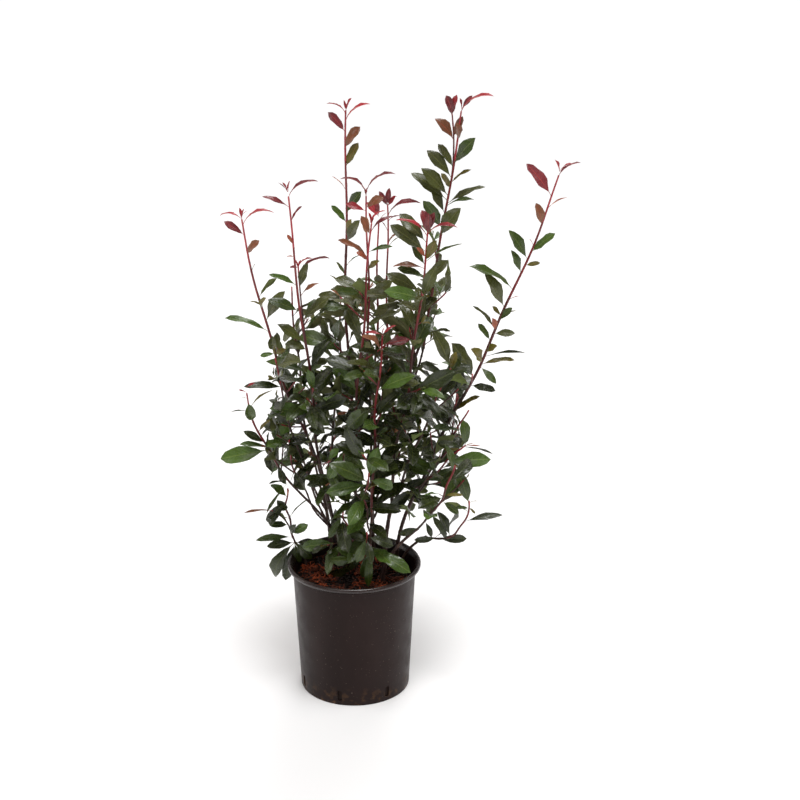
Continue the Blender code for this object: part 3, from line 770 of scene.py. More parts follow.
@dataclass(frozen=True)
class Shoot:
    """A stem that leaves a trunk and bears a mass of foliage.

    The stem starts at the share `leaves_at` of its trunk, passes its knee and reaches its
    tip. Its first share `bare` has no leaves. Each fork is a long side stem: the share
    where it leaves, and its tip. `thin` widens the space between leaves, and side twigs
    start at `twigs_from` behind the tip. `flush` is how far behind the tip the young
    leaves are red, and the higher `bright`, the more old leaves are light or mid green.
    Beyond the bare share the stem may swing aside, by `bow` midway and `lean` at the tip.
    """

    name: str
    trunk: str
    knee: Point
    tip: Point
    radius: float
    bare: float = 0.0
    leaves_at: float = 0.97
    forks: tuple[tuple[float, Point], ...] = ()
    thin: float = 1.0
    twigs_from: float = 0.14
    spread: float = 0.115
    flush: float = 0.0
    bright: float = 0.2
    bow: Point = (0.0, 0.0, 0.0)
    lean: Point = (0.0, 0.0, 0.0)

    @property
    def twigs(self) -> str:
        """Return the name by which this shoot's side stems stand in the way."""
        return self.name + " twig"


@dataclass(frozen=True)
class Shape:
    """A told leaf's share of width, its fold and bend, and how far its upper side
    turns to the front, in degrees.
    """

    width: float
    fold: float
    bend: float
    face: float


TRUNKS = (
    Trunk("left", (-0.030, 0.075), (-0.043, 0.085, 0.319), 0.0050, 0.0042),
    Trunk("middle", (0.000, 0.036), (0.006, 0.030, 0.394), 0.0048, 0.0038),
    Trunk("right", (0.062, 0.010), (0.081, 0.036, 0.405), 0.0050, 0.0038),
    Trunk("front", (0.032, -0.002), (0.038, -0.034, 0.392), 0.0036, 0.0026),
    Trunk("front_right", (0.060, -0.030), (0.134, -0.040, 0.372), 0.0038, 0.0028),
    Trunk("far_right", (0.088, 0.052), (0.142, 0.043, 0.440), 0.0044, 0.0036),
    Trunk("back", (0.038, 0.078), (0.036, 0.096, 0.385), 0.0048, 0.0038),
    Trunk("back_left", (-0.052, 0.098), (-0.068, 0.124, 0.372), 0.0042, 0.0034),
    Trunk("low_left", (-0.106, 0.048), (-0.127, 0.045, 0.303), 0.0034, 0.0026),
    Trunk("low_right", (0.100, 0.048), (0.152, 0.040, 0.318), 0.0034, 0.0026),
)

SHOOTS = (
    Shoot("outer_left", "left", (-0.118, 0.000, 0.665), (-0.212, -0.060, 1.058), 0.0032, bare=0.24, thin=1.2,
          twigs_from=0.42, flush=0.11, bow=(-0.020, 0, 0)),
    Shoot("tall_left", "left", (-0.082, -0.050, 0.640), (-0.116, -0.120, 1.120), 0.0032, bare=0.18,
          forks=((0.38, (-0.090, -0.130, 0.690)), (0.55, (-0.100, -0.095, 0.962))), thin=1.15,
          twigs_from=0.45, flush=0.12, bow=(0.006, 0, 0)),
    Shoot("low_left_bow", "left", (-0.150, 0.012, 0.494), (-0.212, -0.060, 0.700), 0.0028, bare=0.26,
          leaves_at=0.90, thin=1.2, twigs_from=0.25, flush=0.035, bow=(-0.011, 0, 0)),
    Shoot("left_middle", "left", (-0.114, -0.040, 0.560), (-0.152, -0.100, 0.790), 0.0026, bare=0.36,
          leaves_at=0.50),
    Shoot("front_left", "left", (-0.108, 0.000, 0.452), (-0.127, -0.085, 0.606), 0.0021, bare=0.45,
          leaves_at=0.72, thin=1.0, bright=0.45),
    Shoot("tall_middle", "middle", (-0.010, 0.048, 0.770), (-0.008, 0.040, 1.251), 0.0034, bare=0.12,
          thin=1.1, twigs_from=0.44, flush=0.15),
    Shoot("front_middle", "middle", (0.004, -0.040, 0.620), (0.046, -0.140, 1.070), 0.0030, bare=0.14,
          leaves_at=0.94, twigs_from=0.24, flush=0.12, bow=(0.008, 0, 0)),
    Shoot("front_low", "middle", (-0.022, -0.010, 0.455), (-0.008, -0.078, 0.588), 0.0021, leaves_at=0.60,
          bright=0.5),
    Shoot("foot_left", "middle", (-0.014, -0.012, 0.360), (-0.022, -0.060, 0.440), 0.0020, leaves_at=0.34,
          bright=0.4),
    Shoot("front_red", "front", (0.044, -0.075, 0.560), (0.065, -0.125, 0.845), 0.0026, flush=0.08),
    Shoot("front_foot", "front", (0.026, -0.060, 0.430), (0.040, -0.140, 0.552), 0.0020, leaves_at=0.70,
          bright=0.5),
    Shoot("low_front", "front", (0.034, -0.045, 0.330), (0.021, -0.115, 0.415), 0.0019, leaves_at=0.40,
          thin=0.8, bright=0.4),
    Shoot("right_front", "right", (0.100, -0.062, 0.700), (0.152, -0.140, 1.064), 0.0030, bare=0.14,
          thin=0.85, twigs_from=0.20, flush=0.09, bow=(0.016, 0, 0)),
    Shoot("tall_right", "right", (0.124, 0.040, 0.850), (0.216, 0.030, 1.250), 0.0034, bare=0.16,
          leaves_at=0.93, forks=((0.78, (0.192, 0.060, 1.246)),), thin=0.9, twigs_from=0.34, flush=0.12,
          bright=0.4, bow=(0.034, 0, 0), lean=(0.002, 0, 0)),
    Shoot("right_side", "right", (0.166, -0.002, 0.480), (0.243, -0.060, 0.580), 0.0027, bare=0.40,
          leaves_at=0.86, thin=1.2, flush=0.02),
    Shoot("right_middle", "right", (0.146, -0.042, 0.600), (0.207, -0.075, 0.758), 0.0026, leaves_at=0.80,
          thin=1.1),
    Shoot("low_front_right", "front_right", (0.176, -0.062, 0.440), (0.208, -0.100, 0.560), 0.0024, thin=1.2,
          bright=0.4),
    Shoot("far_right", "far_right", (0.262, -0.002, 0.765), (0.400, -0.030, 1.137), 0.0034, bare=0.12,
          thin=1.2, twigs_from=0.50, flush=0.12, bow=(0.013, 0, 0), lean=(0.010, 0, 0)),
    Shoot("far_right_low", "far_right", (0.205, -0.004, 0.560), (0.246, -0.020, 0.650), 0.0025,
          leaves_at=0.88, thin=1.2),
    Shoot("middle_back", "back", (0.033, 0.010, 0.760), (0.031, -0.040, 1.100), 0.0028, bare=0.16,
          twigs_from=0.26, flush=0.12),
    Shoot("pale_back", "back", (0.044, 0.165, 0.660), (0.053, 0.200, 0.992), 0.0028, bare=0.14,
          leaves_at=0.92, thin=1.1, flush=0.08),
    Shoot("right_back", "back", (0.066, 0.105, 0.700), (0.070, 0.080, 1.054), 0.0028, bare=0.20,
          leaves_at=0.86, twigs_from=0.22, flush=0.12),
    Shoot("back_middle", "back_left", (-0.040, 0.200, 0.560), (-0.030, 0.235, 0.830), 0.0027, bare=0.14,
          thin=1.1),
    Shoot("back_left_high", "back_left", (-0.118, 0.160, 0.590), (-0.142, 0.165, 0.880), 0.0027, bare=0.14,
          leaves_at=0.90, thin=1.15, bow=(0.003, 0, 0), lean=(0.012, 0, -0.020)),
    Shoot("back_left_low", "back_left", (-0.125, 0.160, 0.455), (-0.170, 0.135, 0.620), 0.0025, bare=0.40,
          leaves_at=0.78, thin=1.2),
    Shoot("low_back", "back_left", (-0.060, 0.170, 0.395), (-0.035, 0.235, 0.520), 0.0022, bare=0.3,
          leaves_at=0.55),
    Shoot("back_right_high", "back", (0.120, 0.165, 0.600), (0.172, 0.180, 0.850), 0.0027, bare=0.14,
          leaves_at=0.78, thin=1.1),
    Shoot("back_right_low", "back", (0.090, 0.170, 0.430), (0.130, 0.230, 0.570), 0.0024, leaves_at=0.62),
    Shoot("far_right_back", "far_right", (0.195, 0.100, 0.500), (0.215, 0.140, 0.640), 0.0025,
          leaves_at=0.80, thin=1.2),
    Shoot("low_left", "low_left", (-0.140, 0.034, 0.380), (-0.135, 0.018, 0.462), 0.0022,
          forks=((0.15, (-0.178, 0.000, 0.398)),), thin=1.3, twigs_from=0.4),
    Shoot("low_right", "low_right", (0.204, 0.004, 0.336), (0.236, -0.022, 0.462), 0.0022, thin=1.3,
          twigs_from=0.4),
)


class Form(Enum):
    """The forms of a told leaf, each with its share of width and its bends."""

    BUD = Shape(0.30, fold=42, bend=12, face=35)
    STRAP = Shape(0.17, fold=34, bend=66, face=8)
    SLIM = Shape(0.11, fold=36, bend=26, face=5)
    NARROW = Shape(0.21, fold=22, bend=36, face=38)
    BLADE = Shape(0.33, fold=14, bend=24, face=62)
    BROAD = Shape(0.42, fold=22, bend=44, face=64)
    UNDER = Shape(0.24, fold=16, bend=26, face=-52)
    DROOP = Shape(0.36, fold=14, bend=78, face=44)


BUD, STRAP, SLIM, NARROW, BLADE, BROAD, UNDER, DROOP = Form
DEEP, UPPER, MID, BRIGHT, OLIVE, ORANGE, BRONZE, MAROON, CRIMSON = Tint


@dataclass(frozen=True)
class Told:
    """A leaf that shows by itself in the photograph: its form, its tint, its place in
    millimetres behind the tip, its turn (0 to the right, 270 to the front) and lift in
    degrees, and its length in millimetres.
    """

    form: Form
    tint: Tint
    behind: float
    turn: float
    lift: float
    length: float


@dataclass(frozen=True)
class ToldStretch:
    """The told leaves of a stem, and how far behind its tip the rule takes over."""

    rule_from: float
    rows: tuple[tuple[Form, Tint, float, float, float, float], ...]

    def leaves(self) -> list[Told]:
        """Return a told leaf for each row."""
        return [Told(*row) for row in self.rows]


# The leaves that show one by one in the photograph, by shoot and stem
TOLD: dict[tuple[str, int], ToldStretch] = {
    ("outer_left", 0): ToldStretch(345, (
        (BUD, CRIMSON, 32, 185, 80, 26), (BUD, CRIMSON, 32, 0, 76, 24),
        (SLIM, CRIMSON, 26, 350, 45, 18), (STRAP, CRIMSON, 32, 182, 6, 48),
        (STRAP, CRIMSON, 48, 352, 25, 72), (BLADE, MAROON, 68, 182, 36, 52),
        (BROAD, BRONZE, 110, 330, 50, 42), (SLIM, OLIVE, 150, 0, 65, 20),
        (UNDER, MID, 208, 352, 47, 58), (BROAD, OLIVE, 232, 300, 50, 38),
        (NARROW, OLIVE, 228, 190, 30, 28), (BLADE, DEEP, 264, 350, 57, 88),
        (NARROW, BRIGHT, 288, 182, 17, 98), (BROAD, DEEP, 326, 250, 50, 52),
        (BLADE, BRIGHT, 336, 185, -8, 32), (BROAD, OLIVE, 338, 320, 30, 32),
        (NARROW, DEEP, 415, 184, 8, 88),
    )),
    ("tall_left", 0): ToldStretch(380, (
        (BUD, CRIMSON, 26, 330, 75, 26), (BUD, CRIMSON, 26, 185, 60, 24),
        (SLIM, MAROON, 26, 190, 45, 28), (STRAP, MAROON, 38, 352, 30, 72),
        (NARROW, MAROON, 60, 184, 24, 62), (NARROW, MAROON, 92, 350, 56, 42),
        (BLADE, ORANGE, 142, 190, 60, 26), (BUD, ORANGE, 168, 185, 5, 16),
        (NARROW, BRIGHT, 233, 184, 27, 68), (BLADE, MID, 290, 184, 23, 72),
        (BLADE, DEEP, 312, 345, 43, 84), (SLIM, MID, 345, 350, 52, 72),
        (BLADE, DEEP, 362, 184, 38, 74), (BROAD, DEEP, 376, 190, 20, 48),
        (NARROW, MID, 430, 184, 14, 98), (BLADE, BRIGHT, 515, 184, 13, 98),
    )),
    ("tall_left", 2): ToldStretch(100, (
        (BUD, CRIMSON, 22, 0, 70, 20), (BUD, CRIMSON, 22, 180, 70, 20),
        (BROAD, MAROON, 20, 185, 5, 18), (STRAP, CRIMSON, 22, 352, 37, 42),
        (STRAP, MAROON, 36, 352, 29, 74), (BLADE, DEEP, 66, 345, 70, 62),
        (NARROW, BRONZE, 84, 350, 38, 56),
    )),
    ("tall_middle", 0): ToldStretch(430, (
        (BUD, CRIMSON, 36, 0, 65, 32), (BUD, CRIMSON, 34, 150, 75, 22),
        (STRAP, CRIMSON, 42, 185, 30, 45), (STRAP, CRIMSON, 62, 350, 38, 70),
        (BLADE, MAROON, 82, 190, 50, 55), (BROAD, BRONZE, 118, 348, 56, 56),
        (BLADE, OLIVE, 160, 340, 63, 60), (SLIM, ORANGE, 212, 185, 48, 45),
        (BLADE, MID, 260, 345, 55, 62), (BLADE, BRIGHT, 282, 190, 50, 50),
        (BLADE, OLIVE, 300, 300, 60, 35), (BLADE, DEEP, 324, 330, 55, 66),
        (SLIM, MID, 380, 355, 42, 48), (UNDER, MID, 398, 170, 60, 36),
        (SLIM, OLIVE, 427, 185, 45, 50),
    )),
    ("middle_back", 0): ToldStretch(190, (
        (BUD, CRIMSON, 34, 180, 75, 22), (BUD, CRIMSON, 32, 340, 80, 18),
        (STRAP, MAROON, 32, 350, 38, 82), (STRAP, MAROON, 40, 190, 40, 76),
        (BROAD, BRONZE, 60, 346, 34, 46), (BLADE, CRIMSON, 66, 188, 20, 46),
        (BLADE, BRONZE, 74, 262, -40, 46), (NARROW, BRONZE, 170, 185, 35, 80),
        (NARROW, MID, 157, 350, 12, 54),
    )),
    ("front_middle", 0): ToldStretch(190, (
        (BUD, CRIMSON, 36, 150, 78, 28), (BUD, CRIMSON, 36, 0, 75, 24),
        (BUD, CRIMSON, 40, 270, 60, 24), (STRAP, CRIMSON, 32, 350, 43, 40),
        (STRAP, MAROON, 55, 5, 33, 64), (BLADE, BRONZE, 58, 175, 65, 45),
        (BROAD, ORANGE, 114, 200, 40, 30), (BLADE, OLIVE, 136, 340, 38, 44),
        (BLADE, DEEP, 180, 185, 18, 72),
    )),
    ("pale_back", 0): ToldStretch(110, (
        (BLADE, CRIMSON, 24, 188, 52, 42), (BLADE, MAROON, 22, 188, 76, 36),
        (SLIM, MAROON, 34, 0, 50, 26),
    )),
    ("right_back", 0): ToldStretch(150, (
        (BLADE, MAROON, 36, 188, 60, 40), (BLADE, MAROON, 34, 0, 84, 38),
        (BLADE, CRIMSON, 36, 350, 55, 30), (STRAP, CRIMSON, 34, 355, 45, 30),
        (STRAP, MAROON, 62, 352, 27, 78), (STRAP, MAROON, 70, 5, 20, 30),
        (SLIM, MAROON, 94, 180, 58, 28), (STRAP, BRONZE, 122, 350, 38, 55),
        (SLIM, OLIVE, 126, 10, 35, 34),
    )),
    ("right_front", 0): ToldStretch(190, (
        (BROAD, MAROON, 48, 196, 76, 52), (BLADE, MAROON, 46, 350, 72, 48),
        (BUD, CRIMSON, 45, 300, 70, 22), (STRAP, CRIMSON, 55, 188, 30, 76),
        (STRAP, CRIMSON, 58, 352, 24, 76), (BLADE, DEEP, 68, 170, 42, 84),
        (BLADE, DEEP, 88, 180, 38, 95), (BLADE, OLIVE, 108, 330, 58, 60),
        (BLADE, ORANGE, 100, 195, 48, 34), (SLIM, MID, 110, 350, 30, 92),
        (BLADE, MID, 118, 170, 55, 50), (NARROW, BRONZE, 125, 190, 8, 70),
        (BLADE, MID, 140, 190, 18, 60), (BLADE, DEEP, 155, 350, 45, 76),
        (BLADE, DEEP, 178, 185, 28, 86), (BLADE, MAROON, 50, 280, 78, 50),
    )),
    ("tall_right", 0): ToldStretch(330, (
        (BLADE, MAROON, 28, 345, 52, 36), (SLIM, CRIMSON, 28, 10, 40, 24),
        (BUD, CRIMSON, 28, 180, 80, 24), (STRAP, CRIMSON, 44, 352, 33, 84),
        (BROAD, BRONZE, 98, 250, 65, 46), (BLADE, MID, 150, 345, 50, 80),
        (BLADE, DEEP, 160, 175, 55, 60), (BLADE, DEEP, 182, 180, 48, 78),
        (NARROW, OLIVE, 193, 350, 36, 54), (BLADE, OLIVE, 205, 230, 55, 45),
        (BLADE, DEEP, 222, 176, 47, 84), (BLADE, DEEP, 232, 182, 36, 95),
        (NARROW, DEEP, 240, 350, 25, 88), (NARROW, MID, 245, 335, 18, 64),
        (BLADE, DEEP, 262, 195, 62, 70), (BUD, OLIVE, 275, 300, 40, 30),
        (BUD, OLIVE, 283, 250, 50, 28), (BLADE, MID, 295, 190, 55, 80),
        (BROAD, DEEP, 310, 340, 55, 78),
    )),
    ("tall_right", 1): ToldStretch(190, (
        (BROAD, MAROON, 45, 192, 72, 46), (SLIM, CRIMSON, 42, 200, 55, 32),
        (BLADE, CRIMSON, 45, 350, 78, 46), (BUD, CRIMSON, 36, 270, 70, 26),
        (BROAD, BRONZE, 100, 186, 50, 62), (BLADE, BRONZE, 92, 350, 66, 50),
    )),
    ("far_right", 0): ToldStretch(500, (
        (BUD, CRIMSON, 26, 200, 66, 30), (STRAP, CRIMSON, 24, 355, 32, 32),
        (STRAP, MAROON, 44, 350, 38, 60), (BLADE, MAROON, 82, 184, 51, 86),
        (SLIM, ORANGE, 112, 355, 31, 48), (BROAD, BRONZE, 150, 200, 75, 50),
        (SLIM, CRIMSON, 200, 200, 60, 22), (BLADE, BRIGHT, 215, 345, 42, 68),
        (BLADE, MID, 232, 188, 58, 78), (BLADE, OLIVE, 245, 320, 15, 34),
        (BLADE, MID, 265, 190, 66, 58), (NARROW, MID, 305, 184, 31, 112),
        (SLIM, MAROON, 332, 0, 28, 28), (BLADE, DEEP, 350, 188, 61, 94),
        (BLADE, OLIVE, 368, 190, 50, 30), (SLIM, OLIVE, 372, 10, 26, 38),
        (BLADE, MID, 380, 350, 48, 42), (BROAD, ORANGE, 400, 255, 60, 34),
        (NARROW, DEEP, 402, 180, 48, 70), (BLADE, DEEP, 410, 350, 6, 46),
        (BLADE, MID, 428, 185, 55, 46), (BROAD, OLIVE, 455, 330, 35, 38),
        (SLIM, DEEP, 465, 352, 4, 88), (BROAD, OLIVE, 478, 215, 45, 56),
        (NARROW, OLIVE, 485, 350, 8, 72), (BLADE, MID, 488, 330, -38, 50),
        (BLADE, DEEP, 520, 182, 60, 98), (BLADE, DEEP, 535, 345, -6, 56),
        (BLADE, DEEP, 565, 190, 50, 60), (NARROW, OLIVE, 605, 350, 36, 68),
    )),
    ("low_left_bow", 0): ToldStretch(260, (
        (BUD, CRIMSON, 14, 350, 30, 24), (BUD, CRIMSON, 24, 185, 18, 18),
        (SLIM, OLIVE, 38, 180, 0, 14), (SLIM, OLIVE, 62, 355, 42, 74),
        (SLIM, DEEP, 68, 182, 5, 42), (BROAD, MID, 88, 260, 58, 56),
        (NARROW, OLIVE, 118, 350, 48, 44), (NARROW, DEEP, 128, 340, 42, 44),
        (BLADE, DEEP, 145, 184, 34, 54), (BUD, ORANGE, 155, 200, 20, 18),
        (NARROW, BRIGHT, 158, 186, 14, 62), (BLADE, BRIGHT, 162, 184, -14, 108),
        (SLIM, OLIVE, 172, 0, 32, 42), (BLADE, BRIGHT, 178, 345, 64, 92),
        (BLADE, DEEP, 200, 300, -35, 50), (BLADE, MID, 204, 335, 25, 52),
    )),
    ("low_left", 0): ToldStretch(180, (
        (STRAP, DEEP, 14, 185, -5, 40), (SLIM, MID, 14, 195, -55, 80),
        (BROAD, BRIGHT, 45, 190, 38, 44), (SLIM, ORANGE, 45, 270, 55, 30),
        (DROOP, DEEP, 52, 190, -50, 60), (BROAD, DEEP, 75, 215, 50, 42),
        (SLIM, MID, 92, 355, 43, 56), (SLIM, BRONZE, 95, 180, 5, 18),
        (BLADE, BRIGHT, 128, 335, 36, 56), (BROAD, DEEP, 126, 300, 50, 38),
        (NARROW, MID, 136, 184, 0, 78), (DROOP, DEEP, 148, 182, -60, 90),
        (BLADE, DEEP, 150, 188, -8, 60), (BROAD, DEEP, 150, 350, -2, 46),
        (BROAD, MID, 158, 340, -34, 50), (BROAD, MID, 160, 318, -72, 44),
        (BLADE, DEEP, 160, 202, -72, 84),
    )),
    ("low_left", 1): ToldStretch(110, (
        (SLIM, BRONZE, 12, 184, 2, 62), (BROAD, DEEP, 18, 240, -20, 42),
        (BLADE, MID, 58, 200, 15, 50), (UNDER, MID, 56, 170, 55, 34),
    )),
    ("low_right", 0): ToldStretch(190, (
        (SLIM, OLIVE, 40, 0, 10, 18), (BLADE, MID, 45, 190, 72, 78),
        (BLADE, OLIVE, 50, 340, -40, 18), (BLADE, MID, 52, 190, 10, 30),
        (UNDER, MID, 60, 200, 25, 52), (NARROW, DEEP, 84, 352, 8, 82),
        (BLADE, DEEP, 130, 190, 65, 64), (BROAD, DEEP, 138, 220, 50, 32),
        (BLADE, DEEP, 158, 350, -4, 62), (BLADE, DEEP, 162, 185, 5, 48),
    )),
    ("right_side", 0): ToldStretch(125, (
        (BROAD, MID, 26, 184, 86, 58), (SLIM, ORANGE, 28, 350, 24, 22),
        (BLADE, DEEP, 30, 190, 5, 54), (SLIM, DEEP, 30, 352, -6, 66),
        (SLIM, ORANGE, 28, 5, 2, 36), (BLADE, OLIVE, 36, 200, 0, 36),
        (BLADE, BRIGHT, 82, 352, 1, 96), (BLADE, OLIVE, 83, 340, -12, 32),
        (BLADE, MID, 108, 200, 25, 66), (BLADE, MID, 116, 195, 68, 60),
        (BLADE, MID, 112, 350, -50, 52), (BLADE, MID, 122, 184, 22, 64),
        (BLADE, DEEP, 130, 186, -18, 58), (BROAD, DEEP, 172, 188, -34, 62),
        (BROAD, DEEP, 176, 330, -50, 44),
    )),
    ("front_red", 0): ToldStretch(75, (
        (NARROW, CRIMSON, 30, 184, 4, 38), (NARROW, CRIMSON, 30, 350, 38, 36),
        (BUD, CRIMSON, 28, 300, 70, 16), (BLADE, MAROON, 52, 352, 12, 60),
        (BLADE, BRIGHT, 141, 190, 45, 62), (BLADE, BRIGHT, 152, 350, 28, 98),
        (BROAD, MID, 182, 190, -44, 80),
    )),
    ("front_low", 0): ToldStretch(46, (
        (BUD, OLIVE, 30, 20, 60, 22), (BROAD, BRIGHT, 32, 192, -56, 66),
        (BLADE, MID, 34, 350, 38, 52), (NARROW, MID, 96, 182, 4, 82),
    )),
    ("front_foot", 0): ToldStretch(66, (
        (BLADE, BRIGHT, 30, 345, 74, 76), (BROAD, BRIGHT, 32, 352, -22, 56),
        (BLADE, BRIGHT, 42, 183, -6, 90), (BUD, ORANGE, 30, 270, 60, 18),
    )),
    ("low_front", 0): ToldStretch(64, (
        (BLADE, MID, 30, 205, -66, 60), (BROAD, DEEP, 30, 352, -20, 58),
        (BLADE, DEEP, 34, 300, -58, 54), (BROAD, DEEP, 40, 182, 30, 44),
        (NARROW, MID, 54, 270, -72, 86), (BLADE, MID, 58, 200, -74, 70),
    )),
    ("foot_left", 0): ToldStretch(48, (
        (BLADE, MID, 30, 200, -52, 56), (BROAD, MID, 30, 340, 30, 48),
        (BROAD, DEEP, 74, 285, -60, 52),
    )),
    ("right_middle", 0): ToldStretch(62, (
        (BLADE, DEEP, 30, 186, 66, 90), (BROAD, OLIVE, 32, 338, 72, 42),
        (BLADE, DEEP, 44, 350, 18, 52), (BLADE, DEEP, 52, 186, 28, 62),
    )),
    ("low_front_right", 0): ToldStretch(60, (
        (NARROW, OLIVE, 95, 352, 4, 40), (BLADE, MID, 108, 350, -38, 46),
        (BLADE, DEEP, 112, 186, 22, 52), (BLADE, DEEP, 145, 340, -56, 50),
        (BLADE, DEEP, 165, 350, -66, 38), (BLADE, DEEP, 185, 186, -20, 44),
    )),
}


class Line:
    """A smooth curve from a start to a tip with a radius that tapers along it.

    The share `held` of a shoot's line is its bare stretch. Beyond that it may swing aside
    and it keeps its thickness longer.
    """

    STEPS = 40
    SLIMMING = 2.6
    WAVER = 0.0035
    WAVER_TURNS = 2.2

    def __init__(
        self,
        start: Vector,
        control: Vector,
        tip: Vector,
        start_radius: float,
        tip_radius: float,
        waver: float = 0.0,
        seed: int = 0,
        shoot: Shoot | None = None,
    ) -> None:
        """Keep the three points of the curve, its radii, its waver and its shoot's swing.

        Args:
            start: where it starts.
            control: the point that it bends towards.
            tip: where it ends, but for its shoot's lean.
            start_radius: the radius at its start.
            tip_radius: the radius at its tip.
            waver: how far it strays from the smooth curve.
            seed: what its waver is drawn from.
            shoot: the shoot that it belongs to, if it is one.
        """
        self.start = Vector(start)
        self.control = Vector(control)
        self.tip = Vector(tip)
        self.start_radius = start_radius
        self.tip_radius = tip_radius
        self.waver = waver
        self.held = shoot.bare if shoot else 1.0
        self.bow = Vector(shoot.bow if shoot else (0, 0, 0))
        self.lean = Vector(shoot.lean if shoot else (0, 0, 0))
        chance = random.Random(seed)
        self.phases = [chance.uniform(0, math.tau) for _ in range(2)]
        points = [self.at(share) for share in shares(self.STEPS)]
        self.length = sum((b - a).length for a, b in zip(points, points[1:]))

    def at(self, share: float) -> Vector:
        """Return the point at this share of the curve."""
        rest = 1 - share
        point = self.start * rest * rest
        point += self.control * (2 * share * rest)
        point += self.tip * share * share
        swing = self.waver * math.sin(math.pi * share)
        wave = self.WAVER_TURNS * math.tau * share
        point.x += swing * math.sin(wave + self.phases[0])
        point.y += swing * math.sin(wave + self.phases[1])
        past = self.past(share)
        if past > 0:
            point += self.bow * (math.sin(math.pi * past) * self.eased(min(1.0, 3 * past)))
            point += self.lean * self.eased(past)
        return point

    def eased(self, share: float) -> float:
        """Return a share that starts and ends gently."""
        return share * share * (3 - 2 * share)

    def past(self, share: float) -> float:
        """Return how much of the way from the bare stretch to the tip this share is."""
        return max(0.0, share - self.held) / (1 - self.held) if self.held < 1 else 0.0

    def heading(self, share: float) -> Vector:
        """Return the unit direction of the curve at this share."""
        step = 0.5 / self.STEPS
        return (self.at(share + step) - self.at(share - step)).normalized()

    def radius(self, share: float) -> float:
        """Return the radius at this share."""
        past = self.past(share)
        gone = min(share, self.held) + (1 - self.held) * past**self.SLIMMING
        return self.start_radius + (self.tip_radius - self.start_radius) * gone


def square(way: Vector, axis: Vector) -> Vector:
    """Return the unit vector nearest to a way that is square to a unit axis."""
    return (way - axis * way.dot(axis)).normalized()


def through_knee(start: Vector, knee: Point, tip: Point) -> Vector:
    """Return the control point of the parabola from start to tip that passes the knee."""
    knee, tip = Vector(knee), Vector(tip)
    before = (knee - start).length
    share = before / (before + (tip - knee).length)
    rest = 1 - share
    return (knee - start * rest * rest - tip * share * share) / (2 * share * rest)


@dataclass(frozen=True)
class View:
    """The photograph's viewpoint, by which what was told from it finds its place.

    Distances along a stem are told as they would be at `stem_depth` from the camera, and
    the lengths of leaves as they would be at `leaf_depth`.
    """

    eye: Point = (0.096, -3.38, 1.875)
    stem_depth: float = 3.90
    leaf_depth: float = 3.69

    def seen(self, place: Vector) -> Vector:
        """Return how far right, how far up and how deep a place lies before the camera."""
        x, y, z = (value - eye for value, eye in zip(place, self.eye))
        depth = y * COS_PITCH - z * SIN_PITCH
        return Vector((x / depth, (y * SIN_PITCH + z * COS_PITCH) / depth, depth))

    def share_behind(self, line: Line, behind: float) -> float:
        """Return the share of a line that shows this far behind its tip, along it."""
        shares = np.linspace(1, 0, 101)
        shown = [self.seen(line.at(share)).xy * self.stem_depth for share in shares]
        steps = [(b - a).length for a, b in zip(shown, shown[1:])]
        return float(np.interp(behind, np.cumsum([0.0, *steps]), shares))


class Clashes:
    """What stands already, so that nothing new runs into it."""

    CELL = 0.07

    def __init__(self) -> None:
        """Start with nothing standing."""
        self.standing: list[tuple[str, BVHTree]] = []
        self.cells: dict[tuple[int, int, int], list[int]] = defaultdict(list)

    def near(self, points: list[Vector]) -> Iterator[tuple[int, int, int]]:
        """Give each cell of space that the points' box meets."""
        spans = []
        for axis in range(3):
            values = [point[axis] for point in points]
            low, high = math.floor(min(values) / self.CELL), math.floor(max(values) / self.CELL)
            spans.append(range(low, high + 1))
        for x in spans[0]:
            for y in spans[1]:
                for z in spans[2]:
                    yield x, y, z

    def add(self, owner: str, points: list[Vector], faces: Iterable[Iterable[int]]) -> None:
        """Add a solid that belongs to the named owner."""
        for cell in self.near(points):
            self.cells[cell].append(len(self.standing))
        self.standing.append((owner, BVHTree.FromPolygons(points, faces)))

    def free(self, points: list[Vector], faces: Iterable[Iterable[int]], besides: str) -> bool:
        """Tell whether a new solid meets nothing, besides the named owner.

        Args:
            points: its corners.
            faces: its faces, by corner.
            besides: the owner whose solids it may meet.

        Returns:
            Whether it is free.
        """
        new = BVHTree.FromPolygons(points, faces)
        seen = set()
        for cell in self.near(points):
            for index in self.cells.get(cell, ()):
                if index in seen:
                    continue
                seen.add(index)
                owner, tree = self.standing[index]
                if owner != besides and new.overlap(tree):
                    return False
        return True


@dataclass(frozen=True)
class Habit:
    """How one kind of leaf grows: its sizes, its fold and bend in degrees and its angle."""

    length: Pair
    width: float
    fold: Pair
    bend: Pair
    angle: Pair


class Kind(Enum):
    """The kinds of leaf along a shoot, from its tip back."""

    BUD = Habit((0.015, 0.027), 0.28, (42, 62), (-8, 16), (8, 26))
    ARCHING = Habit((0.044, 0.060), 0.20, (30, 48), (48, 82), (40, 56))
    YOUNG = Habit((0.044, 0.062), 0.35, (18, 34), (20, 46), (34, 52))
    GROWN = Habit((0.068, 0.100), 0.330, (8, 24), (18, 50), (40, 68))
    SMALL = Habit((0.018, 0.036), 0.36, (16, 38), (10, 44), (26, 56))


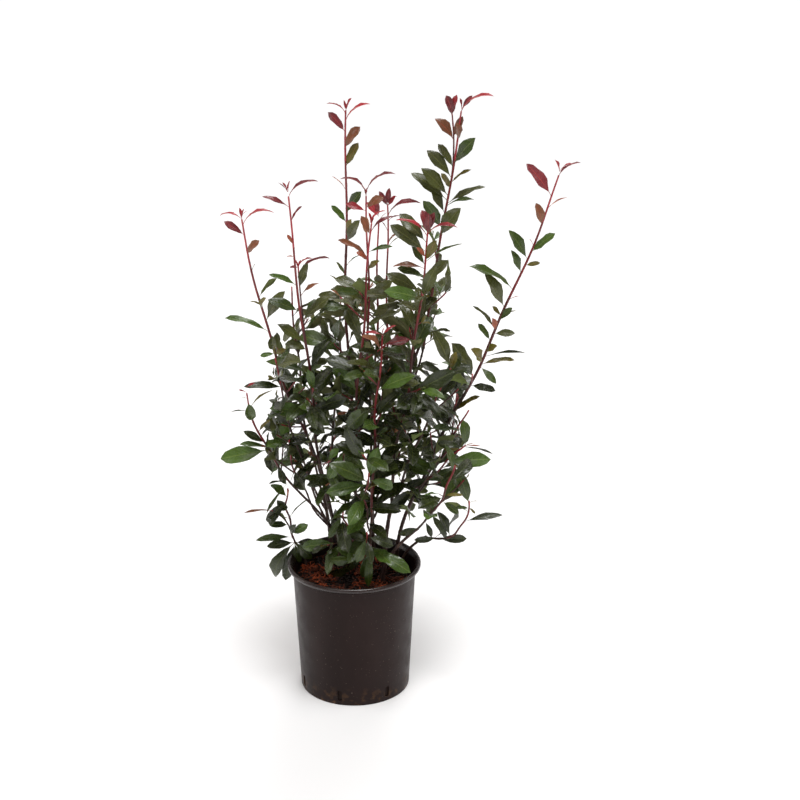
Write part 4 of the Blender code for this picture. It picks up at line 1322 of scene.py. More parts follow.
@dataclass
class Leaf:
    """One leaf: its root, its way, the side it turns up, its sizes and its bends."""

    root: Vector
    out: Vector
    upper: Vector
    length: float
    width: float
    fold: float
    bend: float
    twist: float
    wave: float

    WIDEST = 0.55
    MIDDLE_RISE = 0.12
    ROOT_HALF = 0.0006
    MIDDLE_LIFT = 0.0008
    FACES = ((0, 2, 4), (0, 4, 3), (4, 2, 5), (4, 5, 3), (1, 5, 2), (1, 3, 5), (0, 1, 2), (0, 3, 1))

    def hull(self) -> list[Vector]:
        """Return six corners of a plain blade that stands for the leaf."""
        across = self.out.cross(self.upper)
        up = self.upper
        half = self.width / 2
        middle = self.root + self.out * (self.length * self.WIDEST)
        middle += up * (self.length * math.sin(self.bend) * self.MIDDLE_RISE)
        lift = up * (half * math.sin(self.fold))
        return [
            self.root + up * self.ROOT_HALF,
            self.root - up * self.ROOT_HALF,
            middle + across * half + lift,
            middle - across * half + lift,
            middle + up * self.MIDDLE_LIFT,
            self.root + self.out * self.length,
        ]


class Blade:
    """The leaf's shape in its own terms, made once and bent for every leaf."""

    STATIONS = (0.0, 0.08, 0.15, 0.26, 0.41, 0.57, 0.73, 0.87, 0.95, 1.0)
    HALF_WIDTHS = (0.050, 0.036, 0.09, 0.46, 0.82, 1.0, 0.97, 0.68, 0.27, 0.0)
    ACROSS = 4
    STALK_END = 0.15
    ARCH = 0.55
    STALK_LIFT = 0.25
    CUP = 0.44
    RIPPLE = 0.30
    RIPPLES = 11
    STALK_THICK = 0.00055
    THIN = 0.00022

    def __init__(self) -> None:
        """Make the closed blade: a grid, its copy as the underside, joined at the margin."""
        form = bmesh.new()
        along = len(self.STATIONS) - 1
        bmesh.ops.create_grid(form, x_segments=along, y_segments=self.ACROSS, size=1)
        for vertex in form.verts:
            vertex.co.x = round((vertex.co.x + 1) / 2 * along)
            if vertex.co.x == along:
                vertex.co.y = 0.0
        copied = bmesh.ops.duplicate(form, geom=form.verts[:] + form.edges[:] + form.faces[:])["geom"]
        under = [item for item in copied if isinstance(item, bmesh.types.BMFace)]
        lower = {item for item in copied if isinstance(item, bmesh.types.BMVert)}
        bmesh.ops.reverse_faces(form, faces=under)
        for vertex in form.verts:
            inside = abs(vertex.co.y) < 0.99 and 0 < vertex.co.x < along
            vertex.co.z = (-1.0 if vertex in lower else 1.0) if inside else 0.0
        for face in form.faces:
            middle = sum(vertex.co.x for vertex in face.verts) / len(face.verts)
            face.material_index = 2 if middle < 2 else int(face in under)
        bmesh.ops.remove_doubles(form, verts=form.verts, dist=0.0001)
        bmesh.ops.recalc_face_normals(form, faces=form.faces)
        form.verts.index_update()
        terms = np.array([vertex.co[:] for vertex in form.verts])
        self.station = terms[:, 0].astype(int)
        self.share = np.array(self.STATIONS)[self.station]
        self.half_width = np.array(self.HALF_WIDTHS)[self.station]
        self.side = terms[:, 1]
        self.face_side = terms[:, 2]
        self.faces: dict[int, list[list[int]]] = {3: [], 4: []}
        self.slots: dict[int, list[int]] = {3: [], 4: []}
        for face in form.faces:
            self.faces[len(face.verts)].append([vertex.index for vertex in face.verts])
            self.slots[len(face.verts)].append(face.material_index)
        form.free()

    def tip_place(self, bend: float) -> Pair:
        """Return how far ahead and how high the tip of a bent blade a metre long lies."""
        arch, stalk = self.ARCH * bend, (self.ARCH + self.STALK_LIFT) * bend
        ahead = (1 - self.STALK_END) * math.sin(arch) / arch + self.STALK_END * math.cos(stalk)
        return ahead, self.STALK_END * math.sin(stalk)

    def bent(self, leaves: list[Leaf]) -> np.ndarray:
        """Return the corners of every leaf, each leaf's blade bent and set in its place.

        Args:
            leaves: the leaves.

        Returns:
            An array of leaves by corners by coordinates.
        """
        def column(name: str) -> np.ndarray:
            """Return one number of every leaf as a column."""
            return np.array([getattr(leaf, name) for leaf in leaves])[:, None]

        length, width = column("length"), column("width")
        fold, bend, twist, wave = column("fold"), column("bend"), column("twist"), column("wave")
        stations = np.array(self.STATIONS)[None, :]
        blade = np.clip((stations - self.STALK_END) / (1 - self.STALK_END), 0, 1)
        slope = bend * self.ARCH * (1 - 2 * blade)
        slope += bend * self.STALK_LIFT * (stations < self.STALK_END)
        steps = np.diff(stations, prepend=0.0) * length
        middle_slope = np.concatenate([slope[:, :1], (slope[:, 1:] + slope[:, :-1]) / 2], axis=1)
        ahead = np.cumsum(steps * np.cos(middle_slope), axis=1)[:, self.station]
        rise = np.cumsum(steps * np.sin(middle_slope), axis=1)[:, self.station]
        slope = slope[:, self.station]
        open_fold = fold * np.clip(self.share / 0.3, 0, 1)[None, :]
        half = self.half_width[None, :] * width / 2
        aside = self.side[None, :] * half * np.cos(open_fold)
        spread = np.abs(self.side)[None, :]
        lift = spread * half * np.sin(open_fold)
        lift += half * self.CUP * (spread - spread**2)
        phase = wave + self.share[None, :] * self.RIPPLES + self.side[None, :] * 1.3
        lift += spread**2 * half * self.RIPPLE * np.sin(phase)
        thick = np.where(self.share < self.STALK_END + 0.01, self.STALK_THICK, self.THIN)
        lift += (self.face_side * thick)[None, :]
        turn = twist * (self.share[None, :] - 0.1)
        aside, lift = aside * np.cos(turn) - lift * np.sin(turn), aside * np.sin(turn) + lift * np.cos(turn)
        forward = ahead - lift * np.sin(slope)
        upward = rise + lift * np.cos(slope)
        out = np.array([leaf.out[:] for leaf in leaves])
        up = np.array([leaf.upper[:] for leaf in leaves])
        across = np.cross(out, up)
        root = np.array([leaf.root[:] for leaf in leaves])
        return (
            root[:, None, :]
            + forward[:, :, None] * out[:, None, :]
            + aside[:, :, None] * across[:, None, :]
            + upward[:, :, None] * up[:, None, :]
        )

    def mesh(self, name: str, leaves: list[Leaf]) -> bpy.types.Mesh:
        """Return one mesh of all these leaves."""
        points = self.bent(leaves)
        count = points.shape[1]
        offsets = (np.arange(len(leaves)) * count)[:, None, None]
        faces, slots = [], []
        for corners in (4, 3):
            shape = np.array(self.faces[corners])
            faces.append((shape[None] + offsets).reshape(-1, corners))
            slots.append(np.tile(self.slots[corners], len(leaves)))
        uv = np.stack([(self.side + 1) / 2, self.share], axis=1)
        mesh = joined_mesh(name, points.reshape(-1, 3), faces, slots, np.tile(uv, (len(leaves), 1)))
        mesh.shade_smooth()
        mesh.set_sharp_from_angle(angle=math.radians(75))
        return mesh


@dataclass
class Stem:
    """A stem that bears leaves: its line, the shares it runs between and its rank."""

    line: Line
    first: float
    last: float
    rank: int
    told: ToldStretch | None = None


@dataclass
class Mass:
    """A shoot's foliage: its stems, its random numbers and the points its leaves stay near."""

    shoot: Shoot
    main: Stem
    chance: random.Random
    stems: list[Stem] = field(init=False)
    nodes: list[Vector] = field(init=False)

    def __post_init__(self) -> None:
        """Start with the main stem, the points along it and the forks' tips."""
        self.stems = [self.main]
        self.nodes = [self.main.line.at(share) for share in shares(Line.STEPS)]
        self.nodes += [Vector(tip) for _, tip in self.shoot.forks]


@dataclass
class Crown:
    """All the foliage and the stems, grown from the trunks by the part's own rule.

    `zones` says how far behind a vigorous tip each skin ends. From the height `open_from`
    up to `open_to` the leaves stand further and further apart, and above `light_from` the
    deep green ones are lighter. Grown leaves sink by the first value of `droop` above the
    height `droop_below` and towards the second below it, over a stretch of `droop_over`.
    Told leaves turn aside by up to `told_swing` and `told_face_swing` degrees.
    """

    clashes: Clashes
    box: tuple[Vector, Vector]
    box_margin: float = 0.004
    blade: Blade = field(default_factory=Blade)
    leaves: dict[Tint, list[Leaf]] = field(default_factory=lambda: defaultdict(list))
    stems: dict[Skin, list[Run]] = field(default_factory=lambda: defaultdict(list))
    # Stems
    short_of_tip: float = 0.030
    twig_short_of_tip: float = 0.0105
    end_radius: float = 0.0015
    twig_radius: float = 0.0017
    twig_spacing: float = 0.095
    twig_lengths: Pair = (0.055, 0.095)
    twig_angle: float = math.radians(52)
    twig_rise: float = 0.12
    twig_tries: int = 4
    ribbon_half: float = 0.0012
    limb_step: float = 0.05
    limb_clear: float = 0.0004
    limb_sides: int = 5
    # Bark
    zones: tuple[float, ...] = (0.13, 0.30, 0.52)
    weak_vigour: float = 0.30
    full_flush: float = 0.10
    twig_vigour: float = 0.2
    shortest_stretch: float = 0.004
    fine_step: float = 0.003
    run_step: float = 0.006
    trunk_step: float = 0.0022
    flare: float = 0.55
    flare_fade: float = 0.012
    node_spacing: float = 0.024
    node_swell: float = 0.13
    node_width: float = 0.09
    ridges: Point = (420, 420, 120)
    ridge_height: float = 0.00022
    knobs: float = 60
    knob_height: float = 0.00025
    # Where leaves grow
    spiral: float = math.radians(144)
    spiral_jitter: float = 0.25
    retry_turn: float = math.radians(47)
    leaf_tries: int = 5
    foot_clear: float = 0.014
    close_step: float = 0.012
    wide_step: float = 0.050
    young_zone: float = 0.12
    open_from: float = 0.76
    open_to: float = 1.00
    dense: float = 0.44
    bare_below_red: float = 0.034
    bare_below_green: float = 0.010
    bud_step: float = 0.003
    arching_below: float = 0.010
    arching_step: float = 0.007
    arching_turn: float = math.radians(165)
    spurs: float = 0.22
    spurs_from: float = 0.08
    spur_radii: Pair = (0.0010, 0.0007)
    spur_lengths: Pair = (0.010, 0.022)
    spur_step: float = 0.15
    spur_turn: float = 2.4
    # What leaves look like
    red_from: float = 0.05
    young_share: float = 0.60
    maroon_share: float = 0.62
    bronze_share: float = 1.05
    light_from: float = 0.74
    widths: Pair = (0.88, 1.14)
    twist: float = 0.22
    droop: Pair = (0.08, 0.38)
    droop_below: float = 0.62
    droop_over: float = 0.22
    droop_spread: float = 0.9
    to_tip: float = 0.9
    to_stem: float = 0.25
    to_outside: float = 0.75
    to_sky: float = 0.45
    wander: float = 0.40
    # Told leaves
    told_swing: float = 20.0
    told_face_swing: float = 12.0
    told_bends: Pair = (0.8, 1.2)
    told_widths: Pair = (0.92, 1.08)
    told_twist: float = 0.15
    front: Vector = field(default_factory=lambda: Vector((0, -0.94, 0.34)))
    view: View = View()
    # The crown's outline in the photograph, from the top: its height, left and right
    outline: tuple[Point, ...] = (
        (0.364, 0.026, 0.094), (0.300, 0.036, 0.100), (0.262, 0.028, 0.108),
        (0.254, -0.010, 0.108), (0.244, -0.125, 0.108), (0.229, -0.145, 0.108),
        (0.208, -0.195, 0.106), (0.166, -0.254, 0.100), (0.114, -0.266, 0.129),
        (0.052, -0.279, 0.158), (0.000, -0.270, 0.142), (-0.042, -0.272, 0.125),
        (-0.083, -0.286, 0.137), (-0.135, -0.279, 0.154), (-0.187, -0.260, 0.137),
        (-0.250, -0.229, 0.108), (-0.333, -0.208, 0.062), (-0.416, -0.208, 0.062),
    )
    # Gaps in it, where the background shows: right, up and radius
    gaps: tuple[Point, ...] = (
        (-0.214, -0.206, 0.017), (-0.198, -0.223, 0.019), (-0.177, -0.254, 0.023),
        (-0.179, -0.189, 0.015), (-0.146, -0.233, 0.010), (-0.012, -0.262, 0.013),
        (-0.008, -0.166, 0.009), (0.056, -0.277, 0.019), (0.071, -0.181, 0.012),
        (-0.250, 0.162, 0.017), (-0.183, 0.146, 0.017), (-0.216, 0.104, 0.010),
        (-0.114, 0.125, 0.012), (-0.046, 0.198, 0.015), (-0.025, 0.102, 0.010),
        (0.062, 0.092, 0.025), (0.096, 0.208, 0.019), (0.108, 0.171, 0.017),
        (-0.270, 0.019, 0.012), (-0.237, 0.023, 0.015),
    )

    def grow(self) -> None:
        """Grow every shoot: first all the long stems, and then twigs and leaves."""
        trunks = {trunk.name: self.trunk_line(trunk) for trunk in TRUNKS}
        for trunk in TRUNKS:
            self.add_limb("trunk", trunks[trunk.name], 0.0, 1.0)
            self.stems[Skin.BARK].append(self.trunk_run(trunks[trunk.name]))
        mains = []
        for number, shoot in enumerate(SHOOTS):
            line = self.shoot_line(shoot, trunks[shoot.trunk], number)
            last = 1 - self.short_of_tip / line.length
            self.add_limb(shoot.name, line, 0.0, last)
            mains.append(Stem(line, shoot.bare, last, 0, TOLD.get((shoot.name, 0))))
        masses = []
        for number, (shoot, main) in enumerate(zip(SHOOTS, mains)):
            mass = Mass(shoot, main, random.Random(SHARED_SEED + number))
            self.add_side_stems(mass)
            masses.append(mass)
        for mass in masses:
            for stem in mass.stems:
                self.add_stem(stem, mass.shoot)
                self.told_leaves(stem, mass.chance)
        for mass in masses:
            for stem in mass.stems:
                if stem.told is None:
                    self.tip_leaves(mass, stem)
                self.side_leaves(mass, stem)

    def trunk_line(self, trunk: Trunk) -> Line:
        """Return the line of a trunk, which leaves the soil upright and leans to its top."""
        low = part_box("trunk_" + trunk.name)[0].z
        foot = Vector((*trunk.foot, low))
        control = Vector((foot.x, foot.y, (foot.z + trunk.top[2]) / 2))
        return Line(foot, control, Vector(trunk.top), trunk.foot_radius, trunk.top_radius)

    def shoot_line(self, shoot: Shoot, trunk: Line, seed: int) -> Line:
        """Return the line of a shoot from the heart of its trunk to its tip."""
        start = trunk.at(shoot.leaves_at)
        control = through_knee(start, shoot.knee, shoot.tip)
        ends = (shoot.radius, self.end_radius)
        return Line(start, control, Vector(shoot.tip), *ends, Line.WAVER, seed, shoot)

    def add_limb(self, owner: str, line: Line, first: float, last: float) -> None:
        """Let a stem stand in the way of leaves and twigs.

        Args:
            owner: the name whose own leaves may touch it.
            line: the stem's line.
            first: the share at which it starts.
            last: the share at which it ends.
        """
        count = max(2, round(line.length * (last - first) / self.limb_step))
        rings, sides = [], self.limb_sides
        for share in shares(count, first, last):
            along = line.heading(share)
            spoke = along.orthogonal().normalized() * (line.radius(share) + self.limb_clear)
            turn = Quaternion(along, math.tau / sides)
            for _ in range(sides):
                rings.append(line.at(share) + spoke)
                spoke.rotate(turn)
        faces = []
        for row in range(count):
            for side in range(sides):
                after = (side + 1) % sides
                low = row * sides
                faces.append((low + side, low + after, low + sides + after, low + sides + side))
        self.clashes.add(owner, rings, faces)

    def trunk_run(self, line: Line) -> Run:
        """Return the points and radii of a trunk, with its root flare."""
        run = []
        for step, share in enumerate(shares(round(line.length / self.trunk_step))):
            fade = math.exp(-share * line.length / self.flare_fade)
            flare = self.flare * line.start_radius * fade
            swell = 1 + 0.07 * math.sin(step * 0.9 + line.phases[0] * 9) * math.sin(step * 0.31)
            run.append((line.at(share), (line.radius(share) + flare) * swell))
        return run

    def stem_run(self, line: Line, first: float, last: float, step_length: float) -> Run:
        """Return the points and radii of part of a stem, a little swollen at its nodes.

        Args:
            line: the stem's line.
            first: the share at which the part starts.
            last: the share at which it ends.
            step_length: about how far apart the points lie.

        Returns:
            The points with their radii.
        """
        count = max(2, round(line.length * (last - first) / step_length))
        run = []
        for share in shares(count, first, last):
            node = abs(((share * line.length / self.node_spacing) % 1.0) - 0.5)
            swell = 1 + self.node_swell * math.exp(-((node / self.node_width) ** 2))
            run.append((line.at(share), line.radius(share) * swell))
        return run

    def add_stem(self, stem: Stem, shoot: Shoot) -> None:
        """Deal a stem out to the skins by how far each stretch is behind its tip."""
        line = stem.line
        vigour = self.weak_vigour + (1 - self.weak_vigour) * clamped(shoot.flush / self.full_flush)
        if stem.rank > 0:
            vigour *= self.twig_vigour
        skins = (Skin.CRIMSON, Skin.RED, Skin.MAROON, Skin.BARK)
        ends = [1 - zone * vigour / line.length for zone in self.zones]
        bounds = [stem.last, *[max(0.0, min(stem.last, end)) for end in ends], 0.0]
        for skin, high, low in zip(skins, bounds, bounds[1:]):
            if high - low > self.shortest_stretch:
                fine = skin is Skin.BARK and stem.rank == 0
                step = self.fine_step if fine else self.run_step
                self.stems[skin].append(self.stem_run(line, low, high, step))

    def told_leaves(self, stem: Stem, chance: random.Random) -> None:
        """Set a stem's told leaves, each turned a little aside.

        Args:
            stem: the stem, which may have none.
            chance: the shoot's own random numbers.
        """
        if stem.told is None:
            return
        line = stem.line
        for told in stem.told.leaves():
            form = told.form.value
            share = self.view.share_behind(line, told.behind / 1000)
            nearness = self.view.seen(line.at(share)).z / self.view.leaf_depth
            length = told.length / 1000 * nearness
            turn = math.radians(told.turn + chance.uniform(-self.told_swing, self.told_swing))
            lift = math.radians(told.lift)
            level = Vector((math.cos(turn), math.sin(turn), 0))
            out = level * math.cos(lift) + Vector((0, 0, math.sin(lift)))
            inward = self.inward(line, share, level)
            swing = self.told_face_swing
            face = math.radians(form.face + chance.uniform(-swing, swing))
            upper = square(inward * math.cos(face) + self.front * math.sin(face), out)
            bend = math.radians(form.bend * chance.uniform(*self.told_bends))
            ahead, rise = self.blade.tip_place(bend)
            tilt = math.atan2(rise, ahead)
            leaf = Leaf(
                root=line.at(share),
                out=out * math.cos(tilt) - upper * math.sin(tilt),
                upper=upper * math.cos(tilt) + out * math.sin(tilt),
                length=length / math.hypot(ahead, rise),
                width=length * form.width * chance.uniform(*self.told_widths),
                fold=math.radians(form.fold * chance.uniform(*self.told_bends)),
                bend=bend,
                twist=chance.gauss(0, self.told_twist),
                wave=chance.uniform(0, math.tau),
            )
            self.keep(leaf, leaf.hull(), told.tint, chance)

    def add_side_stems(self, mass: Mass) -> None:
        """Add the forks, and a side twig at even steps below the young zone.

        Args:
            mass: the foliage that gets them.
        """
        shoot, main, chance = mass.shoot, mass.main, mass.chance
        for number, (share, tip) in enumerate(shoot.forks, 1):
            start = main.line.at(share)
            tip = Vector(tip)
            lean = main.line.heading(share) * ((tip - start).length * 0.5)
            line = Line(start, start + lean, tip, self.twig_radius, self.end_radius)
            last = 1 - self.twig_short_of_tip / line.length
            mass.stems.append(Stem(line, 0.0, last, 1, TOLD.get((shoot.name, number))))
            self.add_limb(shoot.twigs, line, 0.0, 1.0)
        behind = shoot.twigs_from
        turn = chance.uniform(0, math.tau)
        whole = main.line.length * (1 - main.first)
        while behind < whole - self.foot_clear:
            share = 1 - behind / main.line.length
            length = chance.uniform(*self.twig_lengths)
            for _ in range(self.twig_tries):
                added = self.try_stem(mass, self.twig_line(main.line, share, turn, length))
                turn += self.retry_turn
                if added:
                    break
            turn += self.spiral
            behind += self.twig_spacing * (1 + chance.uniform(-0.15, 0.15))

    def twig_line(self, line: Line, share: float, turn: float, length: float) -> Line:
        """Return the line of a side twig that bends up from its stem.

        Args:
            line: the stem's line.
            share: where the twig leaves it.
            turn: how far round the stem it leaves.
            length: how far it reaches.

        Returns:
            The twig's line.
        """
        start = line.at(share)
        along = line.heading(share)
        spoke = along.orthogonal().normalized()
        spoke.rotate(Quaternion(along, turn))
        reach = (along * math.cos(self.twig_angle) + spoke * math.sin(self.twig_angle)) * length
        tip = start + reach + Vector((0, 0, self.twig_rise * length))
        return Line(start, start + reach * 0.55, tip, self.twig_radius, self.end_radius)

    def try_stem(self, mass: Mass, line: Line) -> bool:
        """Add a side stem if it meets nothing but its own shoot's stem."""
        last = 1 - self.twig_short_of_tip / line.length
        points = [line.at(share * last) for share in shares(6)]
        across = Vector((self.ribbon_half, self.ribbon_half, 0.0))
        ribbon = [point + offset for point in points for offset in (across, -across)]
        faces = [(2 * row, 2 * row + 1, 2 * row + 3, 2 * row + 2) for row in range(6)]
        if not self.inside(line.tip) or not self.clashes.free(ribbon, faces, mass.shoot.name):
            return False
        self.add_limb(mass.shoot.twigs, line, 0.0, last)
        mass.stems.append(Stem(line, 0.0, last, 1))
        return True

    def tip_leaves(self, mass: Mass, stem: Stem) -> None:
        """Set the small upright leaves at the very tip and the arching ones below it.

        Args:
            mass: the foliage that they belong to.
            stem: the stem whose tip it is.
        """
        length, chance = stem.line.length, mass.chance
        red = mass.shoot.flush > self.red_from and stem.rank == 0
        behind = (1 - stem.last) * length
        first_turn = chance.uniform(0, math.tau)
        for index in range(4 if red else 2):
            tint = chance.choice((CRIMSON, CRIMSON, MAROON)) if red else self.small_tint(chance)
            share = stem.last - self.bud_step * index / length
            turn = first_turn + index * self.spiral
            self.try_leaf(mass, stem, Kind.BUD, share, turn, tint)
        if not red:
            return
        for index in range(3):
            tint = chance.choice((CRIMSON, MAROON))
            below = behind + self.arching_below + self.arching_step * index
            share = 1 - below / length
            turn = first_turn + 1.1 + index * self.arching_turn
            self.try_leaf(mass, stem, Kind.ARCHING, share, turn, tint)

    def small_tint(self, chance: random.Random) -> Tint:
        """Return the tint of a small new leaf away from the red tips."""
        return chance.choices((OLIVE, BRIGHT, BRONZE, MID), (5, 3, 1, 3))[0]

    def old_tint(self, shoot: Shoot, chance: random.Random) -> Tint:
        """Return the tint of an old leaf on this shoot."""
        roll = chance.random()
        if roll < shoot.bright * 0.4:
            return BRIGHT
        if roll < shoot.bright * 1.3:
            return MID
        return DEEP

    def side_leaves(self, mass: Mass, stem: Stem) -> None:
        """Set leaves round a stem in a spiral, from below its tip back to its foot.

        Args:
            mass: the foliage that they belong to.
            stem: the stem that they grow from.
        """
        shoot, line, chance = mass.shoot, stem.line, mass.chance
        turn = chance.uniform(0, math.tau)
        red = shoot.flush if stem.rank == 0 else 0.0
        bare = self.bare_below_red if red > self.red_from else self.bare_below_green
        behind = (1 - stem.last) * line.length + bare
        if stem.told:
            behind = stem.told.rule_from / 1000
        while behind < line.length * (1 - stem.first) - self.foot_clear:
            share = 1 - behind / line.length
            young = behind < self.young_share * red or (stem.rank > 0 and behind < 0.03)
            if behind < self.maroon_share * red:
                tint = chance.choice((MAROON, BRONZE))
            elif behind < self.bronze_share * red:
                tint = chance.choice((BRONZE, OLIVE, MID))
            else:
                tint = self.old_tint(shoot, chance)
            kind = Kind.YOUNG if young else Kind.GROWN
            for attempt in range(self.leaf_tries):
                swing = attempt * self.retry_turn
                if self.try_leaf(mass, stem, kind, share, turn + swing, tint):
                    break
            if chance.random() < self.spurs and behind > self.spurs_from:
                self.spur(mass, stem, share, turn)
            turn += self.spiral + chance.uniform(-self.spiral_jitter, self.spiral_jitter)
            height = line.at(share).z
            openness = clamped((height - self.open_from) / (self.open_to - self.open_from))
            age = clamped(behind / self.young_zone)
            step = shoot.thin * (self.close_step + (self.wide_step - self.close_step) * age)
            behind += step * (self.dense + (1 - self.dense) * openness)

    def spur(self, mass: Mass, stem: Stem, share: float, turn: float) -> None:
        """Grow a short shoot above a leaf's root, with up to three small new leaves.

        Args:
            mass: the foliage that it belongs to.
            stem: the stem that it grows from.
            share: where the leaf grows on that stem.
            turn: how far round the stem it grows.
        """
        root = share + 0.004 / stem.line.length
        line = self.twig_line(stem.line, root, turn, mass.chance.uniform(*self.spur_lengths))
        line.start_radius, line.tip_radius = self.spur_radii
        spur = Stem(line, 0.0, 1.0, 2)
        tint = self.small_tint(mass.chance)
        placed_any = False
        for index in range(3):
            place = 0.97 - self.spur_step * index
            swing = turn + index * self.spur_turn
            placed_any |= self.try_leaf(mass, spur, Kind.SMALL, place, swing, tint)
        if placed_any:
            skin = Skin.RED if tint is OLIVE else Skin.MAROON
            self.stems[skin].append(self.stem_run(line, 0.0, 1.0, self.run_step))

    def try_leaf(
        self, mass: Mass, stem: Stem, kind: Kind, share: float, turn: float, tint: Tint
    ) -> bool:
        """Add a leaf if it stays in the shoot's space and meets nothing but its own stem.

        Args:
            mass: the foliage that it belongs to.
            stem: the stem that it grows from.
            kind: the kind of leaf.
            share: where it grows on its stem.
            turn: how far round the stem it grows.
            tint: its colour.

        Returns:
            Whether it was added.
        """
        shoot = mass.shoot
        leaf = self.leaf(stem.line, kind.value, share, turn, mass.chance)
        hull = leaf.hull()
        for point in hull[2:]:
            near = min((point - node).length for node in mass.nodes)
            if near > shoot.spread or point.z > shoot.tip[2] + 0.004 or not self.inside(point):
                return False
        if not self.clashes.free(hull, Leaf.FACES, shoot.twigs if stem.rank else shoot.name):
            return False
        self.keep(leaf, hull, tint, mass.chance)
        return True

    def keep(self, leaf: Leaf, hull: list[Vector], tint: Tint, chance: random.Random) -> None:
        """Add a leaf to its tint, and let it stand in the way of the next ones."""
        self.clashes.add("leaf", hull, Leaf.FACES)
        self.leaves[self.aged(tint, leaf.root.z, chance)].append(leaf)

    def aged(self, tint: Tint, height: float, chance: random.Random) -> Tint:
        """Return a leaf's tint at this height: high up, deep green is lighter and warmer."""
        high = height + chance.uniform(-0.07, 0.07) > self.light_from
        return UPPER if tint is DEEP and high else tint

    def inside(self, point: Vector) -> bool:
        """Tell whether a point is in the part's box and shows within the crown's outline.

        Args:
            point: the point.

        Returns:
            Whether it is, and shows in none of the outline's gaps.
        """
        low, high = self.box
        margin = self.box_margin
        if any(not a - margin < value < b + margin for a, value, b in zip(low, point, high)):
            return False
        right, up, _ = self.view.seen(point)
        right, up = right * self.view.leaf_depth, up * self.view.leaf_depth
        if any(math.hypot(right - x, up - y) < radius for x, y, radius in self.gaps):
            return False
        for (high, *high_sides), (low, *low_sides) in zip(self.outline, self.outline[1:]):
            if low <= up < high:
                share = (up - low) / (high - low)
                left, limit = (a + (b - a) * share for a, b in zip(low_sides, high_sides))
                return left < right < limit
        return False

    def leaf(self, line: Line, habit: Habit, share: float, turn: float, chance: random.Random) -> Leaf:
        """Return a leaf that grows from a line and turns its upper side to the light.

        Args:
            line: the stem's line.
            habit: how its kind of leaf grows.
            share: where it grows on the line.
            turn: how far round the line it grows.
            chance: the shoot's own random numbers.

        Returns:
            The leaf.
        """
        angle = math.radians(chance.uniform(*habit.angle))
        along = line.heading(min(share, 1 - 1 / Line.STEPS))
        spoke = along.orthogonal().normalized()
        spoke.rotate(Quaternion(along, turn))
        out = along * math.cos(angle) + spoke * math.sin(angle)
        length = chance.uniform(*habit.length)
        if habit is Kind.GROWN.value:
            low = clamped((self.droop_below - line.at(share).z) / self.droop_over)
            least, most = self.droop
            swing = chance.uniform(-self.droop_spread, self.droop_spread)
            out.z -= (least + (most - least) * low) * (1 + swing)
        out.normalize()
        root = line.at(share)
        outside = Vector((root.x - 0.02, root.y - 0.02, 0)).normalized()
        upper = self.inward(line, share, spoke) + outside * self.to_outside
        upper += Vector([chance.gauss(0, self.wander) for _ in range(3)])
        upper.z += self.to_sky
        upper = square(upper, out)
        return Leaf(
            root=root,
            out=out,
            upper=upper,
            length=length,
            width=length * habit.width * chance.uniform(*self.widths),
            fold=math.radians(chance.uniform(*habit.fold)),
            bend=math.radians(chance.uniform(*habit.bend)),
            twist=chance.gauss(0, self.twist),
            wave=chance.uniform(0, math.tau),
        )

    def inward(self, line: Line, share: float, away: Vector) -> Vector:
        """Return the way that a leaf's upper side turns, to the tip and the stem."""
        along = line.heading(min(share, 1 - 1 / Line.STEPS))
        return along * self.to_tip - away * self.to_stem

    def build(self) -> None:
        """Join the leaves of each tint and the stems of each skin, and dress them."""
        masses = sorted(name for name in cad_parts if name.startswith("foliage_"))
        limbs = sorted(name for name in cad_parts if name.startswith(("trunk_", "bough_")))
        for tint, leaves in self.leaves.items():
            name = "leaves_" + tint.value.name
            piece = object_of(name, self.blade.mesh(name, leaves), *tint.value.materials())
            own(piece, "foliage", masses)
            log.info("%s: %d leaves", name, len(leaves))
        for skin, runs in self.stems.items():
            sides = 10 if skin is Skin.BARK else 6
            mesh = self.tube_mesh(skin.value.name, runs, sides)
            if skin is Skin.BARK:
                self.roughen(mesh)
            piece = object_of(skin.value.name, mesh, skin.value.material())
            own(piece, *(("bark", limbs) if skin is Skin.BARK else ("foliage", masses)))

    def tube_mesh(self, name: str, runs: list[Run], sides: int) -> bpy.types.Mesh:
        """Return one mesh of closed tubes along these runs of points and radii.

        Args:
            name: the mesh's name.
            runs: the runs, one for each tube.
            sides: the number of a tube's sides.

        Returns:
            The mesh, smooth and without materials.
        """
        curve = bpy.data.curves.new(name, "CURVE")
        curve.dimensions = "3D"
        curve.bevel_depth = 1.0
        curve.bevel_resolution = (sides - 4) // 2
        curve.use_fill_caps = True
        for run in runs:
            spline = curve.splines.new("POLY")
            spline.points.add(len(run) - 1)
            spline.points.foreach_set("co", [value for point, _ in run for value in (*point, 1.0)])
            spline.points.foreach_set("radius", [radius for _, radius in run])
        made = placed(name, curve)
        mesh = evaluated(made)
        discard(made)
        form = bmesh.new()
        form.from_mesh(mesh)
        bmesh.ops.remove_doubles(form, verts=form.verts, dist=WELD)
        bmesh.ops.recalc_face_normals(form, faces=form.faces)
        form.to_mesh(mesh)
        form.free()
        mesh.shade_smooth()
        mesh.set_sharp_from_angle(angle=math.radians(50))
        mesh.materials.clear()
        mesh.name = name
        return mesh

    def roughen(self, mesh: bpy.types.Mesh) -> None:
        """Give the old bark a shallow relief."""
        for vertex in mesh.vertices:
            place = vertex.co
            ridge = noise.noise(place * Vector(self.ridges))
            knob = noise.noise(place * self.knobs)
            height = ridge * self.ridge_height + knob * self.knob_height
            vertex.co = place + vertex.normal * height


# Studio


